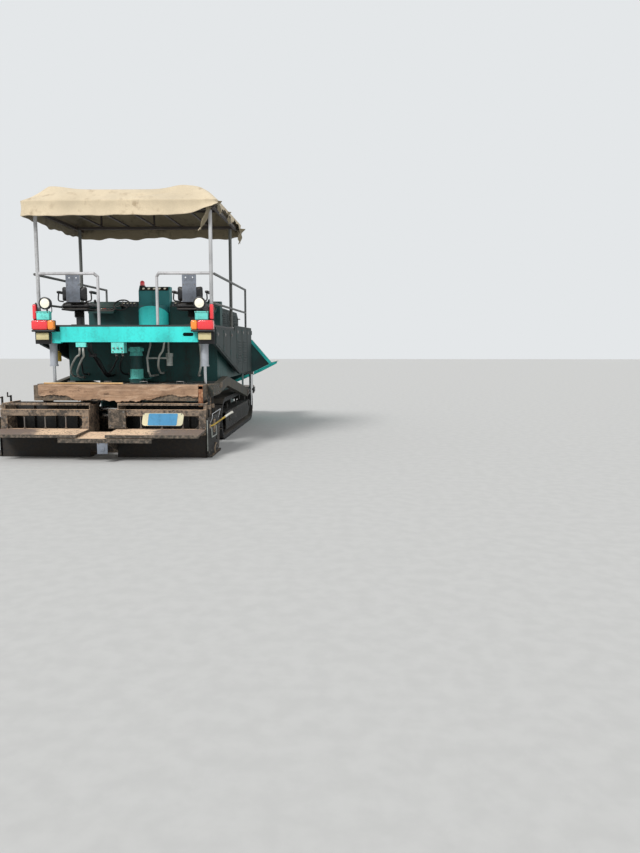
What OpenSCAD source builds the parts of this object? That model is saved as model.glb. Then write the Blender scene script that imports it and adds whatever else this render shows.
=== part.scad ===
/* [Chassis] */
// Tractor's rear face, measured from the middle of the machine's length
rear_y = -2330; // [-2450:5:-2250]
// Height of the chassis floor over the conveyor chains
tunnel_floor_z = 300; // [280:5:330]
// Height of the roof over the conveyor tunnels
tunnel_roof_z = 950; // [900:10:980]
// Clear width of one conveyor tunnel
tunnel_w = 620; // [560:10:640]
// Thickness of the chassis side plates
side_plate_t = 20; // [12:1:24]
// Thickness of the wall between the two tunnels
centre_wall_t = 40; // [24:2:60]
// Back end of the chassis side plates, ahead of the rear face
chassis_rear = 850; // [800:10:900]
// Front end of the chassis, ahead of the rear face
chassis_front = 5200; // [5100:10:5220]

/* [Tracks] */
// Distance between the middles of the tracks
track_gauge = 1950; // [1900:10:1980]
// Width of the track shoes
track_w = 305; // [280:5:320]
// Radius of the chain line round sprocket and idler
track_r = 290; // [270:5:300]
// Height of the rubber shoe pads over the chain line
pad_h = 40; // [30:1:50]
// Sprocket axle, ahead of the rear face
sprocket_at = 1420; // [1380:10:1500]
// Idler axle, ahead of the rear face
idler_at = 4400; // [4300:10:4450]
// Number of shoes in one track
shoe_count = 45; // [40:1:50]
// Number of bottom rollers under one track frame
roller_count = 7; // [5:1:8]

/* [Hopper] */
// Rear plane of the hopper, ahead of the rear face
hopper_rear = 3800; // [3770:5:3850]
// Front end of the hopper wings, ahead of the rear face
hopper_front = 5180; // [5100:10:5200]
// Half of the width over the open wings
wing_reach = 1620; // [1500:10:1620]
// Height of the wing's outer rim at its rear end
wing_rim_z = 1150; // [1050:10:1200]
// Height of the rear shield at the engine bay
shield_z = 1580; // [1450:10:1620]
// Hinge line of the wings, out from the midplane
wing_hinge_x = 700; // [690:5:720]
// Hinge line of the wings, up from the ground
wing_hinge_z = 745; // [735:5:760]
// Plate thickness of wings and apron
hopper_t = 12; // [8:1:16]

/* [Push beam] */
// Radius of the push rollers
push_r = 90; // [70:5:100]
// Length of one push roller
push_l = 640; // [500:10:700]
// Height of the push rollers' axles
push_z = 535; // [500:5:560]
// Pivot of the push beam, ahead of the rear face
push_pivot_at = 5370; // [5350:5:5390]

/* [Auger] */
// Radius of the auger flights
auger_r = 200; // [150:5:210]
// Radius of the auger shafts
auger_shaft_r = 45; // [30:1:60]
// Pitch of the auger flights
auger_pitch = 300; // [240:10:360]
// Auger shaft, ahead of the rear face
auger_at = 560; // [540:5:570]
// Auger shaft, up from the ground
auger_z = 370; // [350:5:400]

/* [Platform and canopy] */
// Height of the operator platform
platform_z = 1760; // [1700:10:1800]
// How far the operator platform stands out past the engine housing on each side
floor_over = 115; // [80:5:130]
// Front edge of the platform, ahead of the rear face
platform_front = 1740; // [1700:10:1760]
// Radius of the canopy posts
post_r = 25; // [20:1:32]
// Canopy posts, out from the midplane
post_x = 1200; // [1150:10:1205]
// Height of the canopy's frame tubes
roof_z = 3320; // [3250:5:3400]
// Height of the canvas roof's top over the frame tubes
canopy_rise = 280; // [240:10:320]
// Height of the canvas roof's upper edge over the frame tubes
eave_rise = 80; // [60:5:120]
// How far the canvas hangs below the frame tubes
hem_drop = 125; // [60:5:160]
// Height of the rear guard rails
rail_z = 2460; // [2350:10:2550]

/* [Screed] */
// Clearance between the tracks and the tow arms on the screed's ends
track_clear = 17.5; // [12.5:0.5:22.5]
// Thickness of the screed plates
screed_plate_t = 20; // [14:1:30]
// Height of the deck on top of the screed
deck_z = 950; // [920:5:960]
// Gap between the screed's side and the end wall of a retracted extension
ext_clear = 27; // [25:1:32]
// How far the left extension is out
ext_out = 350; // [0:10:400]
// Radius of the chrome guide tubes
guide_r = 32; // [26:1:36]
// Tow point, ahead of the rear face
tow_at = 3300; // [3200:10:3400]
// Tow point, up from the ground
tow_z = 620; // [560:5:640]

/* [Hidden] */

teal = [0.10, 0.78, 0.74];
dark_teal = [0.05, 0.27, 0.26];
steel = [0.55, 0.56, 0.57];
dark_steel = [0.20, 0.20, 0.20];
rubber = [0.07, 0.07, 0.07];
canvas = [0.72, 0.65, 0.50];
dusty = [0.45, 0.38, 0.31];
chrome = [0.85, 0.86, 0.88];
mint = [0.55, 0.90, 0.82];
fine = 48;
fit = 0.3;
run_gap = 6;

tunnel_x = centre_wall_t / 2 + tunnel_w;
chassis_x = tunnel_x + side_plate_t;
track_x = track_gauge / 2;
screed_x = track_x + track_w / 2 + track_clear;
axle_z = track_r + pad_h;
chain_in = 25;
inner_r = track_r - chain_in;
frame_gap = 200;
frame_t = 15;

// A point given by its distance ahead of the tractor's rear face
function ahead(d) = rear_y + d;

// Shapes on the right go to the left by mirroring
module on(side) {
  if (side > 0) children();
  else mirror([1, 0, 0]) children();
}

// A box from one corner to the opposite one
module block(a, b) {
  translate(a) cube(b - a);
}

// A round bar between two points
module bar(a, b, r) {
  v = b - a;
  translate(a) rotate([0, acos(v[2] / norm(v)), atan2(v[1], v[0])])
    cylinder(r = r, h = norm(v), $fn = fine);
}

// A tube run through points, with a small weld bead at each bend
module tube_run(points, r) {
  for (i = [0 : len(points) - 2]) bar(points[i], points[i + 1], r);
  if (len(points) > 2)
    for (i = [1 : len(points) - 2]) translate(points[i]) sphere(r = r + 1.5, $fn = fine);
}

// A cylinder across the machine, from x0 to x1
module cross_cyl(x0, x1, y, z, r) {
  translate([x0, y, z]) rotate([0, 90, 0]) cylinder(r = r, h = x1 - x0, $fn = fine);
}

// A profile in the side view, given as [ahead, height], extruded from x0 to x1
module side_profile(x0, x1, points) {
  translate([x0, 0, 0]) rotate([90, 0, 90])
    linear_extrude(x1 - x0) polygon([for (p = points) [ahead(p[0]), p[1]]]);
}

// A profile in the rear view, given as [x, z], extruded over distances ahead d0 to d1
module rear_profile(d0, d1, points) {
  translate([0, ahead(d1), 0]) rotate([90, 0, 0]) linear_extrude(d1 - d0) polygon(points);
}

// Chassis plates with two conveyor tunnels, hinge lugs and tie-down holes
module chassis() {
  color(dark_teal) for (s = [-1, 1]) on(s) {
    difference() {
      side_profile(tunnel_x, chassis_x, [
        [chassis_rear, 190], [chassis_front, 190], [chassis_front, hopper_side_z],
        [hopper_rear - 10, hopper_side_z], [hopper_rear - 10, tunnel_roof_z],
        [chassis_rear, tunnel_roof_z]]);
      for (d = tie_down_ats)
        cross_cyl(tunnel_x - 1, chassis_x + 1, ahead(d), tie_down_z, tie_down_r);
    }
    wing_lug(hopper_rear + 30, 1);
    wing_lug(hopper_front - 30, -1);
    cross_cyl(tunnel_x - 30, tunnel_x, ahead(apron_at), apron_z, apron_pin_r);
  }
}

// Wear floors under the two conveyors
module tunnel_floor() {
  color(dark_steel) for (s = [-1, 1]) on(s)
    block([centre_wall_t / 2, ahead(chassis_rear + conveyor_inset + 80), tunnel_floor_z - 10],
          [tunnel_x, ahead(chassis_front - conveyor_inset - 80), tunnel_floor_z]);
}

// Plate that closes both tunnels from above
module tunnel_roof() {
  color(dark_teal)
    block([-tunnel_x, ahead(chassis_rear), tunnel_roof_z - tunnel_roof_t],
          [tunnel_x, ahead(wall_front), tunnel_roof_z]);
}

// Wall between the tunnels
module centre_wall() {
  color(dark_teal)
    block([-centre_wall_t / 2, ahead(chassis_rear), 190],
          [centre_wall_t / 2, ahead(wall_front), tunnel_roof_z - tunnel_roof_t]);
}

// Low wall between the conveyors under the hopper, front cross plate and push beam ears
module front_frame() {
  color(dark_teal) {
    block([-centre_wall_t / 2, ahead(wall_front), 190],
          [centre_wall_t / 2, ahead(chassis_front - 12), front_wall_z]);
    block([-tunnel_x, ahead(chassis_front - 12), 190], [tunnel_x, ahead(chassis_front), front_wall_z]);
    push_pivot_ears();
  }
}

tie_down_r = 25;
tie_down_z = 250;
tie_down_ats = [chassis_rear + 60, chassis_front - 70];
hopper_side_z = 690;
front_wall_z = 630;
wall_front = hopper_rear - 60;
tunnel_roof_t = 12;
lug_t = 24;
lug_r = 25;
hinge_pin_r = 15;
hinge_pin_l = 70;
// Lug on the chassis with a pin that reaches into a hopper wing, dir along the machine
module wing_lug(d, dir) {
  y = ahead(d);
  translate([0, dir > 0 ? y : y - lug_t, 0]) {
    block([tunnel_x, 0, hopper_side_z - 60], [chassis_x, lug_t, wing_hinge_z + lug_r]);
    block([chassis_x, 0, wing_hinge_z - lug_r], [wing_hinge_x, lug_t, wing_hinge_z + lug_r]);
    translate([wing_hinge_x, 0, wing_hinge_z]) rotate([-90, 0, 0])
      cylinder(r = lug_r, h = lug_t, $fn = fine);
  }
  translate([wing_hinge_x, dir > 0 ? y + lug_t : y - hinge_pin_l, wing_hinge_z]) rotate([-90, 0, 0])
    cylinder(r = hinge_pin_r, h = hinge_pin_l - lug_t, $fn = fine);
}

ear_t = 24;
ear_x = 90;
pivot_pin_r = 25;
push_hub_h = 120;
// Ears on the chassis front that hold the push beam's pivot pin
module push_pivot_ears() {
  for (z = [push_z - push_hub_h / 2 - run_gap - ear_t, push_z + push_hub_h / 2 + run_gap])
    block([-ear_x, ahead(chassis_front), z], [ear_x, ahead(push_pivot_at + 40), z + ear_t]);
  translate([0, ahead(push_pivot_at), push_z - push_hub_h / 2 - run_gap])
    cylinder(r = pivot_pin_r, h = push_hub_h + 2 * run_gap, $fn = fine);
}

// Side plates, top plate and cross tubes of one track frame
module track_frame(side) {
  idler_clear = inner_r + 20;
  color(dark_steel) on(side) {
    for (x = [track_x - frame_gap / 2 - frame_t, track_x + frame_gap / 2])
      difference() {
        side_profile(x, x + frame_t, [
          [sprocket_at + idler_clear, 110], [idler_at - 150, 110], [idler_at + 70, 250],
          [idler_at + 70, 400], [sprocket_at + idler_clear, 400]]);
        cross_cyl(x - 1, x + frame_t + 1, ahead(idler_at), axle_z, 30);
      }
    block([track_x - frame_gap / 2, ahead(sprocket_at + idler_clear), 386],
          [track_x + frame_gap / 2, ahead(idler_at - idler_clear), 400]);
    for (d = [sprocket_at + 600, idler_at - 800])
      block([chassis_x, ahead(d), 230], [track_x - frame_gap / 2 - frame_t, ahead(d + 160), 380]);
    for (d = carrier_ats())
      block([track_x - 12, ahead(d - 50), 400], [track_x + 12, ahead(d + 50), axle_z + inner_r - 35]);
  }
}

carrier_r = 55;
function carrier_ats() = [for (f = [0.35, 0.68]) sprocket_at + f * (idler_at - sprocket_at)];

// Bottom rollers and carrier rollers of one track
module track_rollers(side) {
  first = sprocket_at + inner_r + 130;
  last = idler_at - inner_r - 120;
  bottom_r = 74;
  color(steel) on(side) {
    for (i = [0 : roller_count - 1]) {
      y = ahead(first + i * (last - first) / (roller_count - 1));
      z = axle_z - inner_r + bottom_r + fit;
      cross_cyl(track_x - 85, track_x + 85, y, z, bottom_r - 12);
      cross_cyl(track_x - frame_gap / 2, track_x + frame_gap / 2, y, z, 24);
      for (s = [-1, 1])
        cross_cyl(track_x + s * 60 - 14, track_x + s * 60 + 14, y, z, bottom_r);
    }
    for (d = carrier_ats(), s = [0, 1]) translate([0, 0, 0])
      cross_cyl(track_x + (s ? 12 : -72), track_x + (s ? 72 : -12), ahead(d),
                axle_z + inner_r - carrier_r - fit, carrier_r);
  }
}

tooth_count = 13;
// Toothed drive wheel with its final drive
module sprocket(side) {
  tip = inner_r - 3;
  root = tip - 34;
  color(dark_steel) on(side) {
    translate([track_x - 25, ahead(sprocket_at), axle_z]) rotate([0, 90, 0]) linear_extrude(50)
      polygon([for (i = [0 : tooth_count - 1], p = [[root, -0.30], [tip, -0.14], [tip, 0.14], [root, 0.30]])
        p[0] * [cos(360 * (i + p[1]) / tooth_count), sin(360 * (i + p[1]) / tooth_count)]]);
    cross_cyl(chassis_x, track_x - 60, ahead(sprocket_at), axle_z, 170);
    cross_cyl(track_x - 62, track_x - 24, ahead(sprocket_at), axle_z, 185);
    cross_cyl(track_x + 24, track_x + 70, ahead(sprocket_at), axle_z, 110);
  }
}

// Front idler wheel with its axle
module idler(side) {
  color(dark_steel) on(side) {
    translate([track_x, ahead(idler_at), axle_z]) rotate([0, 90, 0])
      rotate_extrude($fn = 64) polygon([
        [30, -70], [70, -70], [70, -20], [inner_r - 45, -20], [inner_r - 45, -60], [inner_r - 2, -60],
        [inner_r - 2, 60], [inner_r - 45, 60], [inner_r - 45, 20], [70, 20], [70, 70], [30, 70]]);
    cross_cyl(track_x - frame_gap / 2 - frame_t, track_x + frame_gap / 2 + frame_t,
              ahead(idler_at), axle_z, 30);
  }
}

run_l = idler_at - sprocket_at;
arc_l = PI * track_r;
loop_l = 2 * (run_l + arc_l);
// A point of the track loop: s along the chain line, off outwards from it
function loop_point(s, off) =
  let (q = s < 0 ? s + loop_l : s >= loop_l ? s - loop_l : s, r = track_r + off)
  q < run_l ? [ahead(sprocket_at) + q, axle_z - r]
  : q < run_l + arc_l
    ? let (a = -90 + 180 * (q - run_l) / arc_l) [ahead(idler_at) + r * cos(a), axle_z + r * sin(a)]
  : q < 2 * run_l + arc_l ? [ahead(idler_at) - (q - run_l - arc_l), axle_z + r]
  : let (a = 90 + 180 * (q - 2 * run_l - arc_l) / arc_l)
    [ahead(sprocket_at) + r * cos(a), axle_z + r * sin(a)];

// One closed track with its pads in the outline
module track(side) {
  pitch = loop_l / shoe_count;
  pad = pitch * 0.42;
  plate_off = 12;
  arc_steps = 20;
  shoe = [[-pad, plate_off], [-pad, pad_h], [pad, pad_h], [pad, plate_off]];
  outer = [for (i = [0 : shoe_count - 1], p = shoe)
    loop_point((i + 0.5) * pitch + p[0], p[1])];
  inner = concat(
    [for (i = [0 : arc_steps]) let (a = -90 + 180 * i / arc_steps)
      [ahead(idler_at) + inner_r * cos(a), axle_z + inner_r * sin(a)]],
    [for (i = [0 : arc_steps]) let (a = 90 + 180 * i / arc_steps)
      [ahead(sprocket_at) + inner_r * cos(a), axle_z + inner_r * sin(a)]]);
  outer_n = len(outer);
  color(rubber) on(side)
    translate([track_x - track_w / 2, 0, 0]) rotate([90, 0, 90]) linear_extrude(track_w)
      polygon(concat(outer, inner),
              [[for (i = [0 : outer_n - 1]) i], [for (i = [0 : len(inner) - 1]) outer_n + i]]);
}

conveyor_pitch = 240;
conveyor_inset = 60;
// Slat conveyor in one tunnel: two chains and cross bars over and under the floor
module conveyor(side) {
  back = chassis_rear + conveyor_inset;
  front = chassis_front - conveyor_inset;
  end_r = 45;
  chain_h = 24;
  mid_z = tunnel_floor_z - 5;
  color(steel) on(side) {
    for (x = [centre_wall_t / 2 + 12, tunnel_x - 42])
      translate([x, 0, 0]) rotate([90, 0, 90]) linear_extrude(30)
        difference() {
          stadium(ahead(back + end_r), ahead(front - end_r), mid_z, end_r);
          stadium(ahead(back + end_r), ahead(front - end_r), mid_z, end_r - chain_h);
        }
    bar_count = floor((front - back - 200) / conveyor_pitch);
    for (i = [0 : bar_count], z = [mid_z + end_r - chain_h + 2, mid_z - end_r + 4])
      block([centre_wall_t / 2 + 42, ahead(back + 100 + i * conveyor_pitch), z],
            [tunnel_x - 42, ahead(back + 100 + i * conveyor_pitch + 40), z + 18]);
    for (y = [ahead(back + end_r), ahead(front - end_r)])
      cross_cyl(centre_wall_t / 2, tunnel_x, y, mid_z, end_r - chain_h - fit);
  }
}

// A flat loop outline with round ends
module stadium(y0, y1, z, r) {
  translate([y0, z]) circle(r = r, $fn = fine);
  translate([y1, z]) circle(r = r, $fn = fine);
  translate([y0, z - r]) square([y1 - y0, 2 * r]);
}

body_x = screed_x - 25;
platform_x = body_x + floor_over;
tow_plate_x = screed_x - 6;
tow_arm_t = 85;
hood_z = platform_z + 25;
cover_w = 570;
cover_xs = [-900, -cover_w / 2, 900 - cover_w];
bracket_ats = [chassis_rear + 150, platform_front + 260, tow_at - 400, hopper_rear - 200];
// Closed housing of tanks, engine and pumps, over the tunnels
module engine_bay() {
  color(dark_teal) {
    block([-body_x, ahead(chassis_rear), tunnel_roof_z], [body_x, ahead(platform_front), platform_z - 25]);
    block([-body_x, ahead(platform_front), tunnel_roof_z], [body_x, ahead(hopper_rear - 20), hood_z]);
    for (s = [-1, 1]) on(s)
      for (d = bracket_ats)
        block([body_x, ahead(d), platform_z - 260], [panel_x0, ahead(d + 40), platform_z - 60]);
    for (s = [-1, 1]) on(s) {
      block([body_x, ahead(tow_at - 110), tunnel_roof_z],
            [tow_plate_x, ahead(tow_at + 110), tunnel_roof_z + 200]);
      side_profile(tow_plate_x - 8, tow_plate_x, [
        [tow_at - 110, tunnel_roof_z], [tow_at - 60, tow_z - 60], [tow_at + 60, tow_z - 60],
        [tow_at + 110, tunnel_roof_z]]);
      cross_cyl(tow_plate_x, screed_x + tow_arm_t + 10, ahead(tow_at), tow_z, tow_pin_r);
    }
    for (x = cover_xs) block([x, ahead(chassis_rear - 6), platform_z - 610],
                             [x + cover_w, ahead(chassis_rear), platform_z - 260]);
    hood_ears();
  }
}

panel_x0 = screed_x + 55;
panel_t = 45;
panel_rear = 110;
panel_front = hopper_rear - 40;
panel_low = tunnel_roof_z + 50;
door_count = 6;
door_raise = 5;
door_gap = 24;
door_margin = 30;
// Outer side panel with raised doors, its rear lower corner cut off for the tow arm
module side_panel(side) {
  door_l = (panel_front - panel_rear) / door_count;
  color(dark_teal) on(side) {
    panel_plate(panel_t - door_raise, 0);
    intersection() {
      panel_plate(panel_t, -door_margin);
      for (i = [0 : door_count - 1]) let (d = panel_rear + i * door_l)
        block([panel_x0, ahead(d + door_gap / 2), panel_low],
              [panel_x0 + panel_t, ahead(d + door_l - door_gap / 2), hood_z]);
    }
  }
}

// Plate of thickness t in the side panel's outline, grown by grow
module panel_plate(t, grow) {
  knee = platform_front + 560;
  under_floor = platform_z - floor_t - 2;
  translate([panel_x0, 0, 0]) rotate([90, 0, 90]) linear_extrude(t) offset(delta = grow) polygon([
    [ahead(panel_rear), platform_z - 270], [ahead(knee), panel_low],
    [ahead(panel_front), panel_low], [ahead(panel_front), hood_z + 10],
    [ahead(platform_front), hood_z + 10], [ahead(platform_front), under_floor],
    [ahead(panel_rear), under_floor]]);
}

floor_t = 25;
seat_x = platform_x - 405;
seat_at = 560;
seat_foot_h = 120;
seat_pin_r = 22;
under_beam_x = body_x - 120;
// Platform floor with the beams that carry it and the feet of the seats
module platform() {
  color(dark_steel) {
    block([-platform_x, ahead(0), platform_z - floor_t], [platform_x, ahead(platform_front), platform_z]);
    for (s = [-1, 1]) on(s) {
      block([under_beam_x - 70, ahead(95), platform_z - 200],
            [under_beam_x, ahead(chassis_rear), platform_z - floor_t]);
      translate([seat_x, ahead(seat_at), platform_z]) {
        cylinder(r = 120, h = 20, $fn = fine);
        cylinder(r = 45, h = seat_foot_h, $fn = fine);
        cylinder(r = seat_pin_r, h = seat_foot_h + 60, $fn = fine);
      }
    }
  }
}

beam_x = body_x - 110;
beam_left_x = body_x - 220;
beam_low = platform_z - 235;
beam_top = platform_z - 25;
// Folded teal beam across the rear, with a rounded slot near its right end
module rear_beam() {
  color(teal) difference() {
    rear_profile(0, 90, [
      [-beam_left_x, beam_low], [beam_x, beam_low], [beam_x, beam_top], [-beam_left_x, beam_top]]);
    block([-beam_left_x + 8, ahead(8), beam_low - 8], [beam_x - 8, ahead(91), beam_top - 8]);
    for (x = [830, 930]) translate([x, ahead(-1), beam_low + 105]) rotate([-90, 0, 0])
      cylinder(r = 24, h = 12, $fn = fine);
    block([830, ahead(-1), beam_low + 81], [930, ahead(11), beam_low + 129]);
  }
}

valve_low = beam_low - 150;
bracket_low = beam_low - 67;
// Valve box, hose bracket and left end piece at the rear beam
module rear_fittings() {
  color(mint) {
    block([-195, ahead(8), valve_low], [-20, ahead(150), beam_low + 35]);
    for (x = [-160, -105, -50]) translate([x, ahead(8), valve_low + 70]) rotate([90, 0, 0])
      cylinder(r = 16, h = 14, $fn = fine);
  }
  color(teal) {
    block([-690, ahead(8), bracket_low], [-550, ahead(70), beam_low + 75]);
    block([-beam_x - 10, ahead(15), beam_low - 15], [-beam_left_x, ahead(95), beam_low + 143]);
  }
}

pipe_r = 14;
pipe_at = 350;
pipe_low = 1300;
pipe_right = 515;
// Bent return pipe, its cross pipe and the filter that hangs on them
module pipe_frame() {
  y = ahead(pipe_at);
  under = platform_z - floor_t;
  color(steel) {
    tube_run([[255, y, under], [255, y, 1480], [205, y, pipe_low], [215, y + 20, 1110],
              [220, y + 90, 1040], [220, ahead(chassis_rear), 1040]], pipe_r);
    tube_run([[205, y, pipe_low], [pipe_right, y, pipe_low], [pipe_right, y, under]], pipe_r);
  }
  color(dark_steel) {
    translate([pipe_right, y + 50, pipe_low + 20]) cylinder(r = 52, h = 50, $fn = fine);
    translate([pipe_right, y + 50, pipe_low - 110]) cylinder(r = 44, h = 130, $fn = fine);
  }
}

hose_sides = 8;
hose_steps = 3;
// Hoses at the rear: radius and route, as x, distance ahead and height, from fitting to rear wall
hose_routes = [
  [14, [[-650, 40, 1458], [-650, 40, 1410], [-690, 130, 1350], [-790, 270, 1315], [-890, 380, 1220],
        [-960, 480, 1110], [-985, 640, 1035], [-985, 780, 1020], [-985, 850, 1020]]],
  [14, [[-600, 40, 1458], [-600, 40, 1400], [-630, 130, 1330], [-710, 280, 1290], [-800, 390, 1190],
        [-870, 500, 1090], [-900, 650, 1020], [-900, 780, 1005], [-900, 850, 1005]]],
  [12, [[-815, 470, 1735], [-815, 470, 1600], [-810, 470, 1400], [-800, 480, 1250], [-800, 520, 1140],
        [-825, 610, 1070], [-830, 740, 1050], [-830, 850, 1050]]],
  [12, [[-150, 80, 1375], [-150, 80, 1350], [-165, 180, 1310], [-230, 330, 1270], [-330, 450, 1150],
        [-450, 600, 1060], [-500, 740, 1040], [-500, 850, 1040]]],
  [12, [[-60, 80, 1375], [-60, 80, 1350], [-90, 180, 1310], [-160, 330, 1270], [-220, 440, 1160],
        [-230, 600, 1075], [-220, 740, 1055], [-220, 850, 1055]]],
  [14, [[965, 370, 1560], [965, 370, 1480], [970, 380, 1300], [955, 420, 1160], [905, 540, 1065],
        [860, 740, 1035], [860, 850, 1035]]],
  [14, [[480, 290, 1735], [480, 290, 1600], [450, 295, 1420], [395, 300, 1330], [350, 400, 1190],
        [320, 600, 1090], [310, 740, 1070], [310, 850, 1070]]],
];

// A route's point, with one more past each end in a straight line
function knot(p, i) =
  i < 0 ? 2 * p[0] - p[1] : i < len(p) ? p[i] : 2 * p[len(p) - 1] - p[len(p) - 2];

// The point at share f between a route's points i and i + 1
function between_knots(p, i, f) =
  let (a = knot(p, i - 1), b = knot(p, i), c = knot(p, i + 1), d = knot(p, i + 2))
  b + f * (c - a) / 2 + f * f * (a - 2.5 * b + 2 * c - d / 2)
  + f * f * f * (1.5 * (b - c) + (d - a) / 2);

// A hose swept along its route, with a crimped sleeve at both ends
module hose(r, route) {
  last = (len(route) - 1) * hose_steps;
  curve = [for (i = [0 : last]) between_knots(route, floor(i / hose_steps), i % hose_steps / hose_steps)];
  points = [for (i = [0 : last]) let (
    way = i == 0 ? route[1] - route[0]
      : i == last ? curve[last] - route[len(route) - 2] : curve[i + 1] - curve[i - 1],
    t = way / norm(way), side = cross(t, [1, 0, 0]), u = side / norm(side), v = cross(t, u))
    for (k = [0 : hose_sides - 1]) let (a = 360 * k / hose_sides)
      curve[i] + r * (cos(a) * u + sin(a) * v)];
  walls = [for (i = [0 : last - 1], k = [0 : hose_sides - 1])
    let (a = hose_sides * i + k, b = hose_sides * i + (k + 1) % hose_sides)
    each [[a, a + hose_sides, b], [b, a + hose_sides, b + hose_sides]]];
  ends = [[for (k = [0 : hose_sides - 1]) k],
          [for (k = [hose_sides - 1 : -1 : 0]) hose_sides * last + k]];
  polyhedron(points, concat(ends, walls));
  translate(route[0] - [0, 0, 38]) cylinder(r = r + 4, h = 38, $fn = 24);
  translate(curve[last] - [0, 45, 0]) rotate([-90, 0, 0]) cylinder(r = r + 4, h = 45, $fn = 24);
}

// Hoses between the rear fittings, the platform and the engine bay's rear wall
module hoses() {
  color(rubber) translate([0, ahead(0), 0]) for (h = hose_routes) hose(h[0], h[1]);
}

cowl_r = 225;
cowl_at = 1500;
cowl_h = 340;
// Bright half-round cover on the midplane
module cowl() {
  color(teal) translate([0, ahead(cowl_at), platform_z]) {
    intersection() {
      cylinder(r = cowl_r, h = cowl_h, $fn = 96);
      translate([-cowl_r, -cowl_r, 0]) cube([2 * cowl_r, cowl_r + 0.01, cowl_h]);
    }
    translate([-cowl_r, 0, 0]) cube([2 * cowl_r, tower_at - cowl_at, cowl_h]);
  }
}

tower_x = 245;
tower_at = 1560;
tower_h = 640;
console_x = platform_x - 185;
// Instrument tower behind the cowl, with control consoles on both sides
module consoles() {
  desk_at = tower_at - 20;
  desk_top = platform_z + 410;
  color(dark_teal) {
    side_profile(-tower_x, tower_x, [
      [tower_at, platform_z], [platform_front, platform_z], [platform_front, platform_z + tower_h],
      [tower_at + 50, platform_z + tower_h], [tower_at, platform_z + tower_h - 70]]);
    for (s = [-1, 1]) on(s) {
      side_profile(tower_x - 1, console_x, [
        [desk_at, platform_z], [platform_front, platform_z], [platform_front, desk_top],
        [desk_at + 100, desk_top], [desk_at, desk_top - 90]]);
      side_profile(console_x - 450, console_x - 50, [
        [desk_at - 160, desk_top - 195], [desk_at + 5, desk_top - 150],
        [desk_at + 5, desk_top - 110], [desk_at - 160, desk_top - 165]]);
    }
  }
}

rail_r = 20;
rail_end = 3000;
// Guard rails at the rear and along the sides, coped to the canopy posts
module guard_rails() {
  rail_y = ahead(post_rear);
  bend = 40;
  inner_x = [-380, 440];
  side_r = rail_r - 2;
  side_x = post_x + post_r + side_r;
  side_z = rail_z - 10;
  mid_z = platform_z + 290;
  difference() {
    union() {
      color(steel) for (s = [0, 1]) {
        dir = s ? 1 : -1;
        in = inner_x[s];
        tube_run([[dir * post_x, rail_y, rail_z], [in + dir * bend, rail_y, rail_z],
                  [in, rail_y + bend, rail_z - bend], [in, rail_y + bend, platform_z]], rail_r);
      }
      color(dark_steel) for (s = [-1, 1]) on(s) {
        tube_run([[side_x, rail_y, side_z], [side_x, ahead(rail_end), side_z],
                  [side_x, ahead(rail_end), hood_z + 10]], side_r);
        bar([side_x, rail_y, mid_z], [side_x, ahead(rail_end), mid_z], side_r - 2);
        for (d = [post_rear, post_front], z = [mid_z, side_z])
          block([post_x, ahead(d) - 12, z - 12], [side_x, ahead(d) + 12, z + 12]);
      }
    }
    for (x = [-post_x, post_x], d = [post_rear, post_front])
      translate([x, ahead(d), platform_z]) cylinder(r = post_r, h = 1000, $fn = fine);
  }
}

post_rear = 50;
post_front = 1690;
roof_rear = -90;
roof_front = 1990;
roof_x = 1265;
canvas_x = 1345;
canvas_over = 60;
canvas_t = 14;
hip_in = 300;
hem_z = roof_z - hem_drop;
eave_z = roof_z + eave_rise;
top_z = roof_z + canopy_rise;
bow_w = 30;
// Posts and roof frame of the canopy, with the raised bows that carry the canvas
module canopy_frame() {
  bow_x = canvas_x - hip_in - canvas_t - bow_w;
  bow_d0 = roof_rear - canvas_over + hip_in + canvas_t + bow_w;
  bow_d1 = roof_front + canvas_over - hip_in - canvas_t - bow_w;
  bow_z = top_z - canvas_t - fit;
  color(steel) {
    for (x = [-post_x, post_x], d = [post_rear, post_front])
      bar([x, ahead(d), platform_z], [x, ahead(d), roof_z + 10], post_r);
    for (d = [post_rear, post_front])
      block([-roof_x, ahead(d) - 20, roof_z - 20], [roof_x, ahead(d) + 20, roof_z + 20]);
    for (x = [-roof_x - 20, roof_x - 20])
      block([x, ahead(roof_rear), roof_z - 20], [x + 40, ahead(roof_front), roof_z + 20]);
    for (i = [1 : 5])
      block([-roof_x + i * roof_x / 3 - 12, ahead(roof_rear), roof_z + 20],
            [-roof_x + i * roof_x / 3 + 12, ahead(roof_front), roof_z + 44]);
    for (d = [roof_rear, roof_front - 30])
      block([-roof_x, ahead(d), roof_z + 20], [roof_x, ahead(d) + 30, roof_z + 44]);
    for (x = [-bow_x, bow_x - bow_w])
      block([x, ahead(bow_d0), bow_z - bow_w], [x + bow_w, ahead(bow_d1), bow_z]);
    for (d = [bow_d0, bow_d1 - bow_w])
      block([-bow_x, ahead(d), bow_z - bow_w], [bow_x, ahead(d) + bow_w, bow_z]);
    for (x = [-roof_x * 2 / 3, 0, roof_x * 2 / 3], d = [bow_d0 + bow_w / 2, bow_d1 - bow_w / 2])
      block([x - 15, ahead(d) - 8, roof_z + 30], [x + 15, ahead(d) + 8, bow_z - 5]);
  }
}

// Hipped canvas roof as a thin closed shell
module canopy() {
  color(canvas) difference() {
    hip_roof(0);
    hip_roof(canvas_t);
  }
}

// Solid of the roof's shape, moved in by t
module hip_roof(t) {
  x = canvas_x;
  d0 = roof_rear - canvas_over;
  d1 = roof_front + canvas_over;
  low = t > 0 ? hem_z - 1 : hem_z;
  hull() {
    block([-x + t, ahead(d0) + t, low], [x - t, ahead(d1) - t, eave_z - t]);
    block([-x + hip_in + t, ahead(d0) + hip_in + t, top_z - t - 20],
          [x - hip_in - t, ahead(d1) - hip_in - t, top_z - t]);
  }
}

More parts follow.
